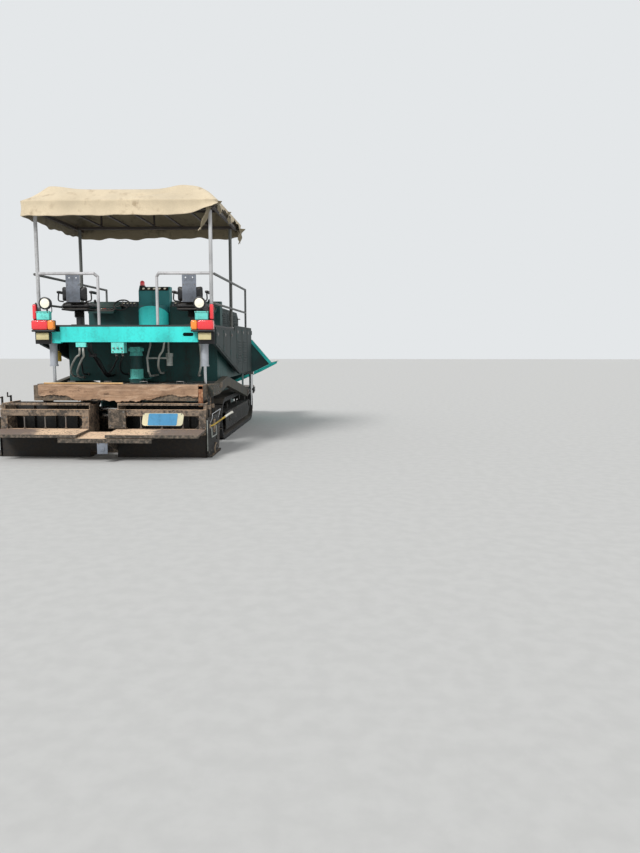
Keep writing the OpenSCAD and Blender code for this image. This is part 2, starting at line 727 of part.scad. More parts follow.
lamp_x0 = platform_x - 295;
lamp_x1 = platform_x + 15;
// Tail lamps, boxes and work lamps on both rear corners, and the beacon on the tower
module lamp_clusters() {
  for (s = [-1, 1]) on(s) {
    color(dark_steel) {
      block([beam_x + 15, ahead(-12), platform_z - 260], [lamp_x1 - 5, ahead(0), platform_z + 190]);
      block([lamp_x0, ahead(-110), platform_z - 95], [lamp_x1, ahead(-12), platform_z - 70]);
      bar([work_lamp_x, ahead(-6), platform_z + 190], [work_lamp_x, ahead(-6), platform_z + 235], 10);
    }
    color("firebrick") {
      block([lamp_x0 + 90, ahead(-120), platform_z - 70], [lamp_x1, ahead(-12), platform_z + 65]);
      block([lamp_x1 - 62, ahead(-75), platform_z + 65], [lamp_x1, ahead(-12), platform_z + 285]);
    }
    color("darkorange")
      block([lamp_x0, ahead(-120), platform_z - 70], [lamp_x0 + 90, ahead(-12), platform_z + 65]);
    color(mint)
      block([lamp_x0 + 60, ahead(-110), platform_z + 65], [lamp_x1 - 75, ahead(-12), platform_z + 180]);
    color("khaki")
      block([lamp_x0 + 90, ahead(-70), platform_z - 205], [lamp_x1 - 40, ahead(-12), platform_z - 105]);
    color("ivory") translate([work_lamp_x, ahead(-70), platform_z + 290]) rotate([-90, 0, 0]) {
      cylinder(r = 82, h = 30, $fn = fine);
      translate([0, 0, 30]) cylinder(r1 = 82, r2 = 55, h = 60, $fn = fine);
    }
  }
  color("firebrick") translate([-200, ahead(tower_at + 70), platform_z + tower_h]) {
    cylinder(r = 45, h = 15, $fn = fine);
    cylinder(r = 35, h = 90, $fn = fine);
  }
}

work_lamp_x = platform_x - 175;
drive_x = 80;
auger_stub_r = 28;
auger_stub_l = 80;
motor_r = 88;
motor_z = 1139;
motor_l = 190;
// Chain case and hydraulic motor column of the augers
module auger_drive() {
  case_top = 1000;
  color(dark_teal) {
    block([-drive_x, ahead(auger_at - 110), auger_z - 130],
          [drive_x, ahead(auger_at + 110), case_top]);
    for (s = [-1, 1]) on(s)
      cross_cyl(drive_x, drive_x + auger_stub_l, ahead(auger_at), auger_z, auger_stub_r);
    block([-140, ahead(auger_at + 20), case_top - 40], [140, ahead(chassis_rear), case_top]);
    translate([0, ahead(auger_at - 40), motor_z]) cylinder(r = motor_r, h = motor_l, $fn = fine);
  }
  color(mint) translate([0, ahead(auger_at - 40), 0]) {
    translate([0, 0, case_top]) cylinder(r = motor_r + 8, h = motor_z - case_top, $fn = 6);
    translate([0, 0, motor_z + motor_l]) {
      cylinder(r1 = motor_r + 8, r2 = motor_r - 4, h = 50, $fn = fine);
      translate([-motor_r + 14, -60, 50]) cube([2 * motor_r - 28, 120, 78]);
      for (s = [-1, 1]) translate([s * 74, 0, 90]) rotate([0, s * 90, 0])
        cylinder(r = 24, h = 34, $fn = fine);
    }
  }
}

lift_x = screed_x - 75;
lift_at = 170;
barrel_r = 52;
barrel_z = 1190;
rod_r = 22;
rod_eye_z = 800;
rod_eye_r = 38;
lift_travel = 310;
sleeve_l = 290;
// Lift cylinder barrels hanging under the platform, with a ring at both ends of the sleeve
module lift_barrels() {
  color(steel) for (s = [-1, 1]) on(s)
    translate([lift_x, ahead(lift_at), barrel_z]) difference() {
      union() {
        cylinder(r = barrel_r, h = platform_z - floor_t - barrel_z, $fn = fine);
        for (z = [0, sleeve_l]) translate([0, 0, z]) cylinder(r = barrel_r + 7, h = 22, $fn = fine);
      }
      translate([0, 0, -1]) cylinder(r = rod_r + 0.5, h = 60 + lift_travel + 30, $fn = fine);
    }
}

// Piston rod of one lift cylinder with its eye
module lift_rod(side) {
  color(chrome) on(side) {
    translate([lift_x, ahead(lift_at), rod_eye_z + rod_eye_r - 4])
      cylinder(r = rod_r, h = barrel_z + 60 - rod_eye_z - rod_eye_r + 4, $fn = fine);
    difference() {
      cross_cyl(lift_x - 18, lift_x + 18, ahead(lift_at), rod_eye_z, rod_eye_r);
      cross_cyl(lift_x - 19, lift_x + 19, ahead(lift_at), rod_eye_z, 16);
    }
  }
}

tow_cylinder_x = screed_x + tow_arm_t + 60;
// Cylinders that set the height of the tow points, outside the tow arms
module tow_cylinders() {
  top = tunnel_roof_z + 45;
  for (s = [-1, 1]) on(s) translate([tow_cylinder_x, ahead(tow_at), 0]) {
    color(dark_teal) translate([tow_plate_x - tow_cylinder_x, -50, top - 45])
      cube([tow_cylinder_x - tow_plate_x + 45, 100, 45]);
    color(steel) {
      translate([0, 0, top - 300]) cylinder(r = 35, h = 260, $fn = fine);
      translate([0, 0, tow_z - 34]) cylinder(r = 26, h = 68, $fn = fine);
    }
    color(chrome) {
      translate([0, 0, tow_z - 240]) cylinder(r = 14, h = 320, $fn = fine);
      translate([screed_x + tow_arm_t + 10 - tow_cylinder_x, 0, tow_z]) rotate([0, 90, 0])
        cylinder(r = 20, h = 50, $fn = fine);
    }
  }
}

hood_rear = platform_front + 20;
hood_front = hopper_rear - 60;
hood_x = body_x - 120;
hood_top = hood_z + 305;
hood_pin_z = hood_z + 30;
hood_pin_at = hood_front + 22;
hood_t = 15;
louvre_count = 9;
louvre_pitch = 70;
// Engine hood, hinged at its front edge
module hood() {
  color(dark_teal) {
    difference() {
      side_profile(-hood_x, hood_x, [
        [hood_rear, hood_z + run_gap], [hood_front, hood_z + run_gap],
        [hood_front, hood_top - 130], [hood_front - 180, hood_top - 20], [hood_rear, hood_top]]);
      side_profile(-hood_x + hood_t, hood_x - hood_t, [
        [hood_rear + hood_t, hood_z], [hood_front - hood_t, hood_z],
        [hood_front - hood_t, hood_top - 138], [hood_front - 186, hood_top - 20 - hood_t],
        [hood_rear + hood_t, hood_top - hood_t]]);
      for (x = [-hood_x / 2, hood_x / 2], i = [0 : louvre_count - 1])
        block([x - 260, ahead(hood_rear + 300 + i * louvre_pitch), hood_top - 40],
              [x + 260, ahead(hood_rear + 330 + i * louvre_pitch), hood_top + 1]);
    }
    for (x = hood_hinges) difference() {
      union() {
        cross_cyl(x - 30, x + 30, ahead(hood_pin_at), hood_pin_z, 16);
        block([x - 30, ahead(hood_front) - 2, hood_pin_z - 12],
              [x + 30, ahead(hood_pin_at), hood_pin_z + 12]);
      }
      cross_cyl(x - 31, x + 31, ahead(hood_pin_at), hood_pin_z, 8.5);
    }
  }
}

hood_hinges = [-700, 700];
// Hinge ears with pins for the hood, on the engine bay
module hood_ears() {
  for (x = hood_hinges) {
    for (s = [-1, 1]) {
      block([x + s * 46 - 10, ahead(hood_pin_at) - 15, hood_z],
            [x + s * 46 + 10, ahead(hood_pin_at) + 15, hood_pin_z]);
      cross_cyl(x + s * 46 - 10, x + s * 46 + 10, ahead(hood_pin_at), hood_pin_z, 16);
    }
    cross_cyl(x - 40, x + 40, ahead(hood_pin_at), hood_pin_z, 8);
  }
}

wing_band_w = 55;
wing_band_t = 20;
wing_rib_h = 45;
// One hopper wing: sloping floor, outer rim, rear shield, ribs and hinge tube
module wing(side) {
  t = hopper_t;
  back = hopper_rear + run_gap;
  floor_in = [wing_hinge_x + lug_r + run_gap, wing_hinge_z - 4];
  knee = [body_x + 180, 990];
  rim = [wing_reach, wing_rim_z];
  crest = [body_x + 130, shield_z];
  edge = (rim - crest) / norm(rim - crest);
  inward = wing_band_w * [edge[1], -edge[0]];
  slope = (knee - floor_in) / norm(knee - floor_in);
  rib_in = floor_in + 130 * slope;
  tube_r = 28;
  tube_back = hopper_rear + 30 + lug_t + run_gap;
  tube_front = hopper_front - 30 - lug_t - run_gap;
  color(teal) on(side) difference() {
    union() {
      rear_profile(back, hopper_front, [
        floor_in, knee, rim, rim - [t, -4], knee - [4, -t], floor_in + [0, t]]);
      rear_profile(back, back + t, [
        floor_in, knee, rim, crest, [wing_hinge_x + 40, shield_z], floor_in + [0, t]]);
      rear_profile(back - wing_band_t, back + 1, [
        crest, rim, rim + inward + 14 * -edge, crest + inward]);
      for (d = [hopper_rear + 350, (hopper_rear + hopper_front) / 2, hopper_front - 350])
        rear_profile(d, d + t, [
          rib_in - [0, wing_rib_h], knee - [0, wing_rib_h], rim - [8, wing_rib_h], rim, knee, rib_in]);
      block([wing_hinge_x, ahead(tube_back), wing_hinge_z - 4],
            [floor_in[0] + 2, ahead(tube_front), wing_hinge_z + t - 4]);
      translate([wing_hinge_x, ahead(tube_back), wing_hinge_z]) rotate([-90, 0, 0])
        cylinder(r = tube_r, h = tube_front - tube_back, $fn = fine);
    }
    translate([wing_hinge_x, ahead(tube_back) - 1, wing_hinge_z]) rotate([-90, 0, 0])
      cylinder(r = hinge_pin_r + 0.5, h = tube_front - tube_back + 2, $fn = fine);
  }
}

apron_at = 5155;
apron_z = 662;
apron_pin_r = 12;
// Front apron of the hopper on its cross hinge
module apron() {
  lean = 20;
  x = tunnel_x - run_gap;
  color(dark_teal) translate([0, ahead(apron_at), apron_z]) rotate([-lean, 0, 0]) difference() {
    union() {
      translate([-x, -6, 10]) cube([2 * x, hopper_t, 270]);
      translate([-x, 0, 0]) rotate([0, 90, 0]) cylinder(r = 22, h = 2 * x, $fn = fine);
    }
    translate([-x - 1, 0, 0]) rotate([0, 90, 0]) cylinder(r = apron_pin_r + 0.5, h = 2 * x + 2, $fn = fine);
  }
}

push_beam_t = 55;
push_inner_x = 400;
push_axle_at = push_pivot_at + 15 + push_beam_t + 8 + push_r;
push_cheek_t = 16;
// Swinging beam with the cheeks and stub axles of the push rollers
module push_beam() {
  beam_at = push_pivot_at + 15;
  outer_x = push_inner_x + push_l + 2 * run_gap;
  color(dark_steel) {
    difference() {
      union() {
        block([-outer_x - push_cheek_t, ahead(beam_at), push_z - push_hub_h / 2],
              [outer_x + push_cheek_t, ahead(beam_at + push_beam_t), push_z + push_hub_h / 2]);
        translate([0, ahead(push_pivot_at), push_z - push_hub_h / 2])
          cylinder(r = 60, h = push_hub_h, $fn = fine);
      }
      translate([0, ahead(push_pivot_at), push_z - push_hub_h / 2 - 1])
        cylinder(r = pivot_pin_r + 0.5, h = push_hub_h + 2, $fn = fine);
    }
    for (s = [-1, 1]) on(s) {
      for (x = [push_inner_x - push_cheek_t, outer_x])
        block([x, ahead(beam_at + push_beam_t), push_z - 50],
              [x + push_cheek_t, ahead(push_axle_at + 30), push_z + 50]);
      cross_cyl(push_inner_x, outer_x, ahead(push_axle_at), push_z, 24);
    }
  }
}

// One push roller, bored for its axle
module push_roller(side) {
  x = push_inner_x + run_gap;
  color(steel) on(side) difference() {
    cross_cyl(x, x + push_l, ahead(push_axle_at), push_z, push_r);
    cross_cyl(x - 1, x + push_l + 1, ahead(push_axle_at), push_z, 24.5);
  }
}

flight_t = 14;
flight_in = auger_shaft_r + 0.8;
// Points round one section of a flight at angle a along the shaft
function flight_ring(x0, a) =
  [for (p = [[flight_in, 0], [auger_r, 0], [auger_r, flight_t], [flight_in, flight_t]])
    [x0 + a / 360 * auger_pitch + p[1], p[0] * cos(a), p[0] * sin(a)]];

auger_x0 = drive_x + run_gap;
auger_x1 = screed_x + 50;
auger_socket_r = 25;
auger_socket_l = 60;
// Half of the auger: bored shaft and helical flight
module auger(side) {
  x0 = auger_x0 + 50;
  turns = (auger_x1 - 10 - x0 - flight_t) / auger_pitch;
  steps = ceil(turns * 20);
  points = [for (i = [0 : steps], p = flight_ring(x0, i * turns * 360 / steps)) p];
  sides = [for (i = [0 : steps - 1], k = [0 : 3]) let (a = 4 * i + k, b = 4 * i + (k + 1) % 4)
    each [[a, b, a + 4], [b, b + 4, a + 4]]];
  color(dark_steel) on(side) translate([0, ahead(auger_at), auger_z]) {
    difference() {
      translate([auger_x0, 0, 0]) rotate([0, 90, 0])
        cylinder(r = auger_shaft_r, h = auger_x1 - auger_x0, $fn = fine);
      translate([auger_x0 - 1, 0, 0]) rotate([0, 90, 0])
        cylinder(r = auger_stub_r + 0.5, h = auger_stub_l + 2, $fn = fine);
      translate([auger_x1 - auger_socket_l, 0, 0]) rotate([0, 90, 0])
        cylinder(r = auger_socket_r, h = auger_socket_l + 1, $fn = fine);
    }
    polyhedron(points, concat([[2, 1, 0], [3, 2, 0]], sides,
      [for (f = [[0, 1, 2], [0, 2, 3]]) [for (k = f) 4 * steps + k]]));
  }
}

// Swivelling seat with its back plate
module seat(side) {
  on(side) translate([seat_x, ahead(seat_at), platform_z + seat_foot_h + fit]) {
    color(rubber) difference() {
      union() {
        cylinder(r = 60, h = 110, $fn = fine);
        translate([-220, -200, 110]) cube([440, 440, 100]);
        translate([-200, -205, 210]) cube([400, 70, 200]);
      }
      translate([0, 0, -1]) cylinder(r = seat_pin_r + 0.5, h = 66, $fn = fine);
    }
    color(steel) difference() {
      translate([-100, -215, 210]) cube([200, 10, 390]);
      for (x = [-45, 45]) translate([x, -204, 545]) rotate([90, 0, 0])
        cylinder(r = 11, h = 12, $fn = fine);
    }
  }
}

deck_rear = -360;
deck_front = 260;
deck_t = 12;
screed_front = 260;
screed_rear = -90;
guide_at = -20;
guide_zs = [610, 515];
apron_low = deck_z - 205;
// Main screed: plate, walls, bearings of the guide tubes and the deck
module screed_body() {
  color(dusty) {
    block([-screed_x, ahead(screed_rear), 0], [screed_x, ahead(screed_front), screed_plate_t]);
    block([-screed_x, ahead(screed_rear), screed_plate_t], [screed_x, ahead(screed_rear) + 12, 300]);
    block([-screed_x, ahead(screed_front) - 15, screed_plate_t], [screed_x, ahead(screed_front), 480]);
    for (s = [-1, 1]) on(s) {
      difference() {
        union() {
          side_profile(screed_x - deck_t, screed_x, [
            [screed_rear + 12, screed_plate_t], [screed_front - 15, screed_plate_t],
            [screed_front - 15, deck_z - 90], [90, deck_z - 90], [50, deck_z - deck_t],
            [deck_rear, deck_z - deck_t], [deck_rear, apron_low], [screed_rear + 12, apron_low]]);
          for (x = [0, screed_x / 2])
            block([x, ahead(screed_rear) + 12, screed_plate_t],
                  [x + 15, ahead(screed_front) - 15, deck_z - deck_t]);
        }
        for (z = guide_zs)
          cross_cyl(-1, screed_x + 1, ahead(guide_at), z, guide_r + 12);
      }
      block([lift_x + rod_r + 7, ahead(lift_at) - 40, rod_eye_z - 40],
            [screed_x - deck_t, ahead(lift_at) + 40, rod_eye_z + 40]);
    }
    guide_bearing(-screed_x + deck_t, -950, guide_zs[0]);
    guide_bearing(950, screed_x - deck_t, guide_zs[1]);
    block([-screed_x, ahead(deck_rear), deck_z - deck_t], [screed_x, ahead(50), deck_z]);
    block([-screed_x + 165, ahead(50), deck_z - deck_t], [screed_x - 165, ahead(deck_front), deck_z]);
    block([-screed_x, ahead(deck_rear), apron_low],
          [screed_x, ahead(deck_rear) + deck_t, deck_z - deck_t]);
  }
}

// Bored block that a guide tube slides in
module guide_bearing(x0, x1, z) {
  difference() {
    block([x0, ahead(guide_at) - 50, z - 42], [x1, ahead(guide_at) + 50, z + 42]);
    cross_cyl(x0 - 1, x1 + 1, ahead(guide_at), z, guide_r + 0.5);
  }
}

tow_pin_r = 34.5;
// Tow arm from the screed to the tow point, with its bore
module tow_arm(side) {
  color(dusty) on(side) difference() {
    side_profile(screed_x, screed_x + tow_arm_t, [
      [-60, 790], [400, 790], [1100, 870], [tow_at, tow_z - 75], [tow_at + 75, tow_z],
      [tow_at, tow_z + 75], [1100, 1010], [400, 940], [-60, 940]]);
    cross_cyl(screed_x - 1, screed_x + tow_arm_t + 1, ahead(tow_at), tow_z, tow_pin_r + 0.5);
  }
}

step_rear = -970;
spine_t = 8;
post_at = -508;
post_top = 640;
// Step board behind the middle of the screed, on a spine between the extensions
module centre_step() {
  color(dusty) {
    side_profile(-600, 600, [
      [step_rear + 8, 256], [step_rear + 8, 312], [-520, 345], [-520, 320], [step_rear + 20, 290],
      [step_rear + 20, 256]]);
    side_profile(-spine_t / 2, spine_t / 2, [
      [screed_rear, 100], [screed_rear, 290], [-445, 290], [-445, post_top], [post_at, post_top],
      [post_at, 320], [-900, 296], [-900, 240], [-500, 100]]);
    block([-90, ahead(post_at - 14), 392], [140, ahead(post_at), post_top]);
  }
}

mat_x = screed_x - 65;
mat_low = deck_z - 235;
// Worn cover laid over the rear edge of the screed's deck
module screed_mat() {
  color("sienna") {
    block([-mat_x, ahead(deck_rear - 14), mat_low], [mat_x, ahead(deck_rear), deck_z]);
    block([-mat_x, ahead(deck_rear - 14), deck_z], [mat_x, ahead(deck_rear + 120), deck_z + 12]);
  }
}

// Offset of an extension from its retracted place
function ext_shift(side) = side < 0 ? ext_out : 0;

ext_x0 = 10;
ext_wall_t = 28;
ext_x1 = screed_x + ext_clear + ext_wall_t;
guide_l = 1500;
spindle_r = 14;
spindle_ats = [-380, -130];
spindle_x = ext_x1 + 22;
// Frame, plate and guide tube of one extension
module extension(side) {
  z = side < 0 ? guide_zs[0] : guide_zs[1];
  color(dusty) on(side) translate([ext_shift(side), 0, 0]) {
    block([ext_x0, ahead(-480), 0], [ext_x1, ahead(-100), screed_plate_t]);
    block([ext_x0, ahead(-480), screed_plate_t], [ext_x1, ahead(-468), 300]);
    block([ext_x0, ahead(-112), screed_plate_t], [ext_x1, ahead(-100), 300]);
    block([ext_x0, ahead(-500), 300], [ext_x1, ahead(-440), 378]);
    block([ext_x0, ahead(-500), 556], [ext_x1, ahead(-440), 636]);
    block([ext_x0, ahead(-440), 690], [ext_x1, ahead(-400), 716]);
    for (x = [ext_x0, ext_x1 - 90])
      block([x, ahead(-498), 378], [x + 90, ahead(-442), 556]);
    for (x = [ext_x0, ext_x1 - 40])
      block([x, ahead(-440), 300], [x + 12, ahead(-100), 690]);
    block([ext_x1 - ext_wall_t, ahead(-440), 300], [ext_x1, ahead(60), 716]);
    for (d = spindle_ats) difference() {
      block([ext_x1, ahead(d) - 24, 640], [spindle_x + 24, ahead(d) + 24, 690]);
      translate([spindle_x, ahead(d), 639]) cylinder(r = spindle_r + 0.5, h = 52, $fn = fine);
    }
  }
  color(chrome) on(side) translate([ext_shift(side), 0, 0])
    cross_cyl(ext_x1 - ext_wall_t - guide_l, ext_x1 - ext_wall_t, ahead(guide_at), z, guide_r);
}

// Step board carried behind one extension
module walkway(side) {
  color(dusty) on(side) translate([ext_shift(side), 0, 0])
    side_profile(ext_x0, ext_x1, [
      [step_rear, 322], [step_rear, 360], [-500, 378], [-500, 352], [step_rear + 14, 334],
      [step_rear + 14, 322]]);
}

// End plate hung on its two height spindles
module end_plate(side) {
  x0 = spindle_x - 10;
  color(dusty) on(side) translate([ext_shift(side), 0, 0]) {
    side_profile(x0, x0 + 20, [
      [-500, 20], [-440, 0], [200, 0], [300, 60], [300, 480], [200, 530], [-500, 530]]);
    side_profile(x0, x0 + 55, [[-470, 12], [-440, 0], [200, 0], [240, 24], [236, 30], [196, 12]]);
    for (d = spindle_ats)
      translate([spindle_x, ahead(d), 520]) {
        cylinder(r = spindle_r, h = 280, $fn = fine);
        translate([0, 0, 268]) rotate([90, 0, 0]) cylinder(r = 8, h = 100, $fn = fine);
        translate([0, -92, 268]) cylinder(r = 9, h = 60, $fn = fine);
      }
  }
}

chassis();
tunnel_floor();
tunnel_roof();
centre_wall();
front_frame();
track_frame(-1);  // track_frame_left
track_frame(1);  // track_frame_right
track_rollers(-1);  // track_rollers_left
track_rollers(1);  // track_rollers_right
sprocket(-1);  // sprocket_left
sprocket(1);  // sprocket_right
idler(-1);  // idler_left
idler(1);  // idler_right
track(-1);  // track_left
track(1);  // track_right
conveyor(-1);  // conveyor_left
conveyor(1);  // conveyor_right
engine_bay();
side_panel(-1);  // side_panel_left
side_panel(1);  // side_panel_right
platform();
rear_beam();
cowl();
consoles();
guard_rails();
canopy_frame();
canopy();
lamp_clusters();
auger_drive();
lift_barrels();
hood();
wing(-1);  // wing_left
wing(1);  // wing_right
apron();
push_beam();
push_roller(-1);  // push_roller_left
push_roller(1);  // push_roller_right
auger(-1);  // auger_left
auger(1);  // auger_right
seat(-1);  // seat_left
seat(1);  // seat_right
screed_body();
tow_arm(-1);  // tow_arm_left
tow_arm(1);  // tow_arm_right
centre_step();
screed_mat();
extension(-1);  // extension_left
extension(1);  // extension_right
walkway(-1);  // walkway_left
walkway(1);  // walkway_right
end_plate(-1);  // end_plate_left
end_plate(1);  // end_plate_right
lift_rod(-1);  // lift_rod_left
lift_rod(1);  // lift_rod_right
rear_fittings();
pipe_frame();
hoses();
tow_cylinders();
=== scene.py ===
"""Looks of a tracked asphalt paver: paint, canvas, cushions, hoses, lamps and fittings.

Lengths are metres, and millimetres where a comment says so. X is the machine's right, Y its
travel direction and Z is up. Each new piece is worked out with numpy and lies where the CAD
frame says.
"""
import math

import bpy
import numpy as np
from bpy.props import FloatProperty, FloatVectorProperty, PointerProperty
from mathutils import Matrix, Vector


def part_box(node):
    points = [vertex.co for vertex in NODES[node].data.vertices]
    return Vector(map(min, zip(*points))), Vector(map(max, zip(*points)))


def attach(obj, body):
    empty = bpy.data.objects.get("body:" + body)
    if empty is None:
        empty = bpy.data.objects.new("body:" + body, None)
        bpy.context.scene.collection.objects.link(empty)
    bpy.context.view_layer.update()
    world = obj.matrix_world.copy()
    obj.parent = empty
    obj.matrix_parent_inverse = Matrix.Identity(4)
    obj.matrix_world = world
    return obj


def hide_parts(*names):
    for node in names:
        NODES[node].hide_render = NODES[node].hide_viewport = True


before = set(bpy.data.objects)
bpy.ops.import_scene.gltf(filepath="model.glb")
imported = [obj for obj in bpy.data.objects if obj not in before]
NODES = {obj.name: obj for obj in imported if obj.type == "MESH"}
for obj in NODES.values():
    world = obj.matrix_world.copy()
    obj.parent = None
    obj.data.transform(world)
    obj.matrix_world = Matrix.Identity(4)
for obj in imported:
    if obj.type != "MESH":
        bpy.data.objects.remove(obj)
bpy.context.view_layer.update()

bl_info = {
    "name": "Asphalt paver looks",
    "version": (1, 0, 0),
    "blender": (4, 5, 0),
    "location": "3D View > Sidebar > Paver",
    "description": "Dresses the packed paver with its finishes and small pieces",
    "category": "Object",
}

SIDES = (("left", -1), ("right", 1))
RIGHT = np.array([1.0, 0.0, 0.0])
BACK = np.array([0.0, -1.0, 0.0])
UP = np.array([0.0, 0.0, 1.0])


def box(node):
    """Lowest and highest corner of a CAD node as arrays."""
    low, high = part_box(node)
    return np.array(low), np.array(high)


BEAM = box("rear_beam")
CANOPY = box("canopy")
REAR = BEAM[0][1]
FLOOR_Z = BEAM[1][2] + 0.025
FLOOR_X = box("platform")[1][0]
SHIELD_Y = box("wing_right")[0][1] + 0.02


def at(distance):
    """Y of a point that lies this far ahead of the tractor's rear plane."""
    return REAR + distance


# Shader maths


def maths(operation):
    """Method that adds a Math node for this operation on a value and on what it is given."""
    return lambda value, *others: value.math(operation, value, *others)


def reflected(operation):
    """The same for an operator whose right side is the value, such as 1 - mask."""
    return lambda value, other: value.math(operation, other, value)


class Value:
    """A node's output. Operators add the Math node that they stand for."""

    __add__, __radd__ = maths("ADD"), maths("ADD")
    __sub__, __rsub__ = maths("SUBTRACT"), reflected("SUBTRACT")
    __mul__, __rmul__ = maths("MULTIPLY"), maths("MULTIPLY")
    __truediv__, __rtruediv__ = maths("DIVIDE"), reflected("DIVIDE")
    __pow__, __rpow__ = maths("POWER"), reflected("POWER")
    __gt__ = maths("GREATER_THAN")
    __lt__ = maths("LESS_THAN")
    __abs__ = maths("ABSOLUTE")
    high = maths("MAXIMUM")
    low = maths("MINIMUM")
    sine = maths("SINE")

    def __init__(self, graph, socket):
        self.graph = graph
        self.socket = socket

    def math(self, operation, *values):
        return self.graph.node("ShaderNodeMath", {"operation": operation}, dict(enumerate(values)))

    def step(self, start, end):
        """0 below start, 1 above end and a smooth ramp between them."""
        return self.graph.node(
            "ShaderNodeMapRange",
            {"interpolation_type": "SMOOTHSTEP"},
            {"Value": self, "From Min": start, "From Max": end},
        )


class Graph:
    """The node tree of one material or of the world."""

    def __init__(self, owner):
        self.owner = owner
        self.owner.use_nodes = True
        self.tree = self.owner.node_tree
        self.tree.nodes.clear()
        self.place = self.node("ShaderNodeTexCoord", out="Object")

    def node(self, kind, settings=None, inputs=None, out=0):
        """Adds a node: its settings first, then the values or links of its sockets."""
        made = self.tree.nodes.new(kind)
        for key, value in (settings or {}).items():
            setattr(made, key, value)
        for key, value in (inputs or {}).items():
            if isinstance(value, Value):
                self.tree.links.new(value.socket, made.inputs[key])
            else:
                made.inputs[key].default_value = value
        return Value(self, made.outputs[out]) if made.outputs else made

    def noise(self, scale, detail, rough=0.5, stretch=(1, 1, 1)):
        """Noise from 0 to 1 on Object coordinates, cells drawn out where stretch is small."""
        where = self.node("ShaderNodeMapping", None, {"Vector": self.place, "Scale": stretch})
        return self.node(
            "ShaderNodeTexNoise",
            None,
            {"Vector": where, "Scale": scale, "Detail": detail, "Roughness": rough},
        )

    def part(self, vector, index):
        """The X, Y or Z part of a vector."""
        return self.node("ShaderNodeSeparateXYZ", None, {"Vector": vector}, out=index)

    def axis(self, index):
        """The X, Y or Z part of the Object coordinates."""
        return self.part(self.place, index)

    def facing_up(self):
        """1 on surfaces that look straight up, 0 on upright ones."""
        return self.part(self.node("ShaderNodeTexCoord", out="Normal"), 2)

    def mix(self, factor, first, second):
        """Colour between first and second."""
        first, second = (c if isinstance(c, Value) else (*c, 1.0) for c in (first, second))
        inputs = {0: factor, 6: first, 7: second}
        return self.node("ShaderNodeMix", {"data_type": "RGBA"}, inputs, out=2)

    def patchy(self, colour, factor, mask, start=0.3, end=0.7):
        """The colour, times the factor where the mask is low."""
        return self.mix(mask.step(start, end), shade(colour, factor), colour)

    def edges(self, width):
        """1 on convex and concave edges within about this width, 0 on flat ground."""
        soft = self.node("ShaderNodeBevel", {"samples": 4}, {"Radius": width})
        plain = self.node("ShaderNodeNewGeometry", out="Normal")
        same = self.node(
            "ShaderNodeVectorMath", {"operation": "DOT_PRODUCT"}, {0: soft, 1: plain}, out="Value"
        )
        return (1 - same).step(0.0, 0.12)

    def bump(self, height, strength, distance):
        return self.node(
            "ShaderNodeBump", None, {"Height": height, "Strength": strength, "Distance": distance}
        )

    def surface(self, **inputs):
        """The main shader, wired to the material's output."""
        named = {key.replace("_", " ").title(): value for key, value in inputs.items()}
        for key, value in named.items():
            if isinstance(value, tuple):
                named[key] = (*value, 1.0)
        shader = self.node("ShaderNodeBsdfPrincipled", None, named)
        self.node("ShaderNodeOutputMaterial", None, {"Surface": shader})
        return self.owner


def material_graph(name):
    """The empty graph of a new material."""
    return Graph(bpy.data.materials.new(name))


def rgb(red, green, blue):
    """A colour given as 0 to 255 screen values, in Blender's linear values."""
    parts = np.array([red, green, blue]) / 255.0
    low = parts / 12.92
    high = ((parts + 0.055) / 1.055) ** 2.4
    return tuple(float(v) for v in np.where(parts <= 0.04045, low, high))


def shade(colour, factor, lift=0.0):
    """The colour times the factor and lifted, with no part above 1."""
    return tuple(min(1.0, c * factor + lift) for c in colour)


# Finishes

PRIMER = (0.05, 0.045, 0.04)
RUST = rgb(104, 62, 38)
OILY_RUST = rgb(92, 58, 36)
GRIME = rgb(52, 46, 38)
DUST = rgb(146, 134, 116)
THREAD = 0.0016
GUIDE_RADIUS = 0.034


def painted(name, colour, rough, dust, chips, grime, under=PRIMER, zones=()):
    """Old enamel: faded patches, chipped edges, streaks of grime and dust on what looks up.

    Each zone is a mask, worked out from the graph, and the colour that shows there."""
    g = material_graph(name)
    patch = g.noise(2.2, 4.0)
    grain = g.noise(38.0, 5.0, 0.65)
    streak = g.noise(9.0, 3.0, stretch=(1, 1, 0.08))
    chip = (g.edges(0.004) + (grain - 0.5) * 1.6).step(0.62, 0.8) * chips
    spots = grain.step(0.7, 0.76) * (chips * 0.6)
    worn = chip.high(spots)
    base = g.mix(patch.step(0.35, 0.65), shade(colour, 0.62), shade(colour, 1.25, 0.003))
    base = g.mix(patch.step(0.2, 0.55) * 0.75, base, colour)
    for mask, other in zones:
        base = g.mix(mask(g) * (patch * 0.25 + 0.85).low(1.0), base, other)
    dirt = (streak * grain * 2.1).step(0.42, 0.85) * grime
    base = g.mix(dirt, base, GRIME)
    settled = (g.facing_up() + (grain - 0.5) * 0.9).step(0.45, 1.0) * dust
    base = g.mix(settled, base, DUST)
    base = g.mix(worn, base, under)
    gloss = rough + patch * 0.12 + settled * 0.35 + dirt * 0.2 + worn * 0.2
    relief = g.noise(160.0, 2.0) * 0.25 - worn * 1.2
    return g.surface(base_color=base, roughness=gloss, normal=g.bump(relief, 0.35, 0.0006))


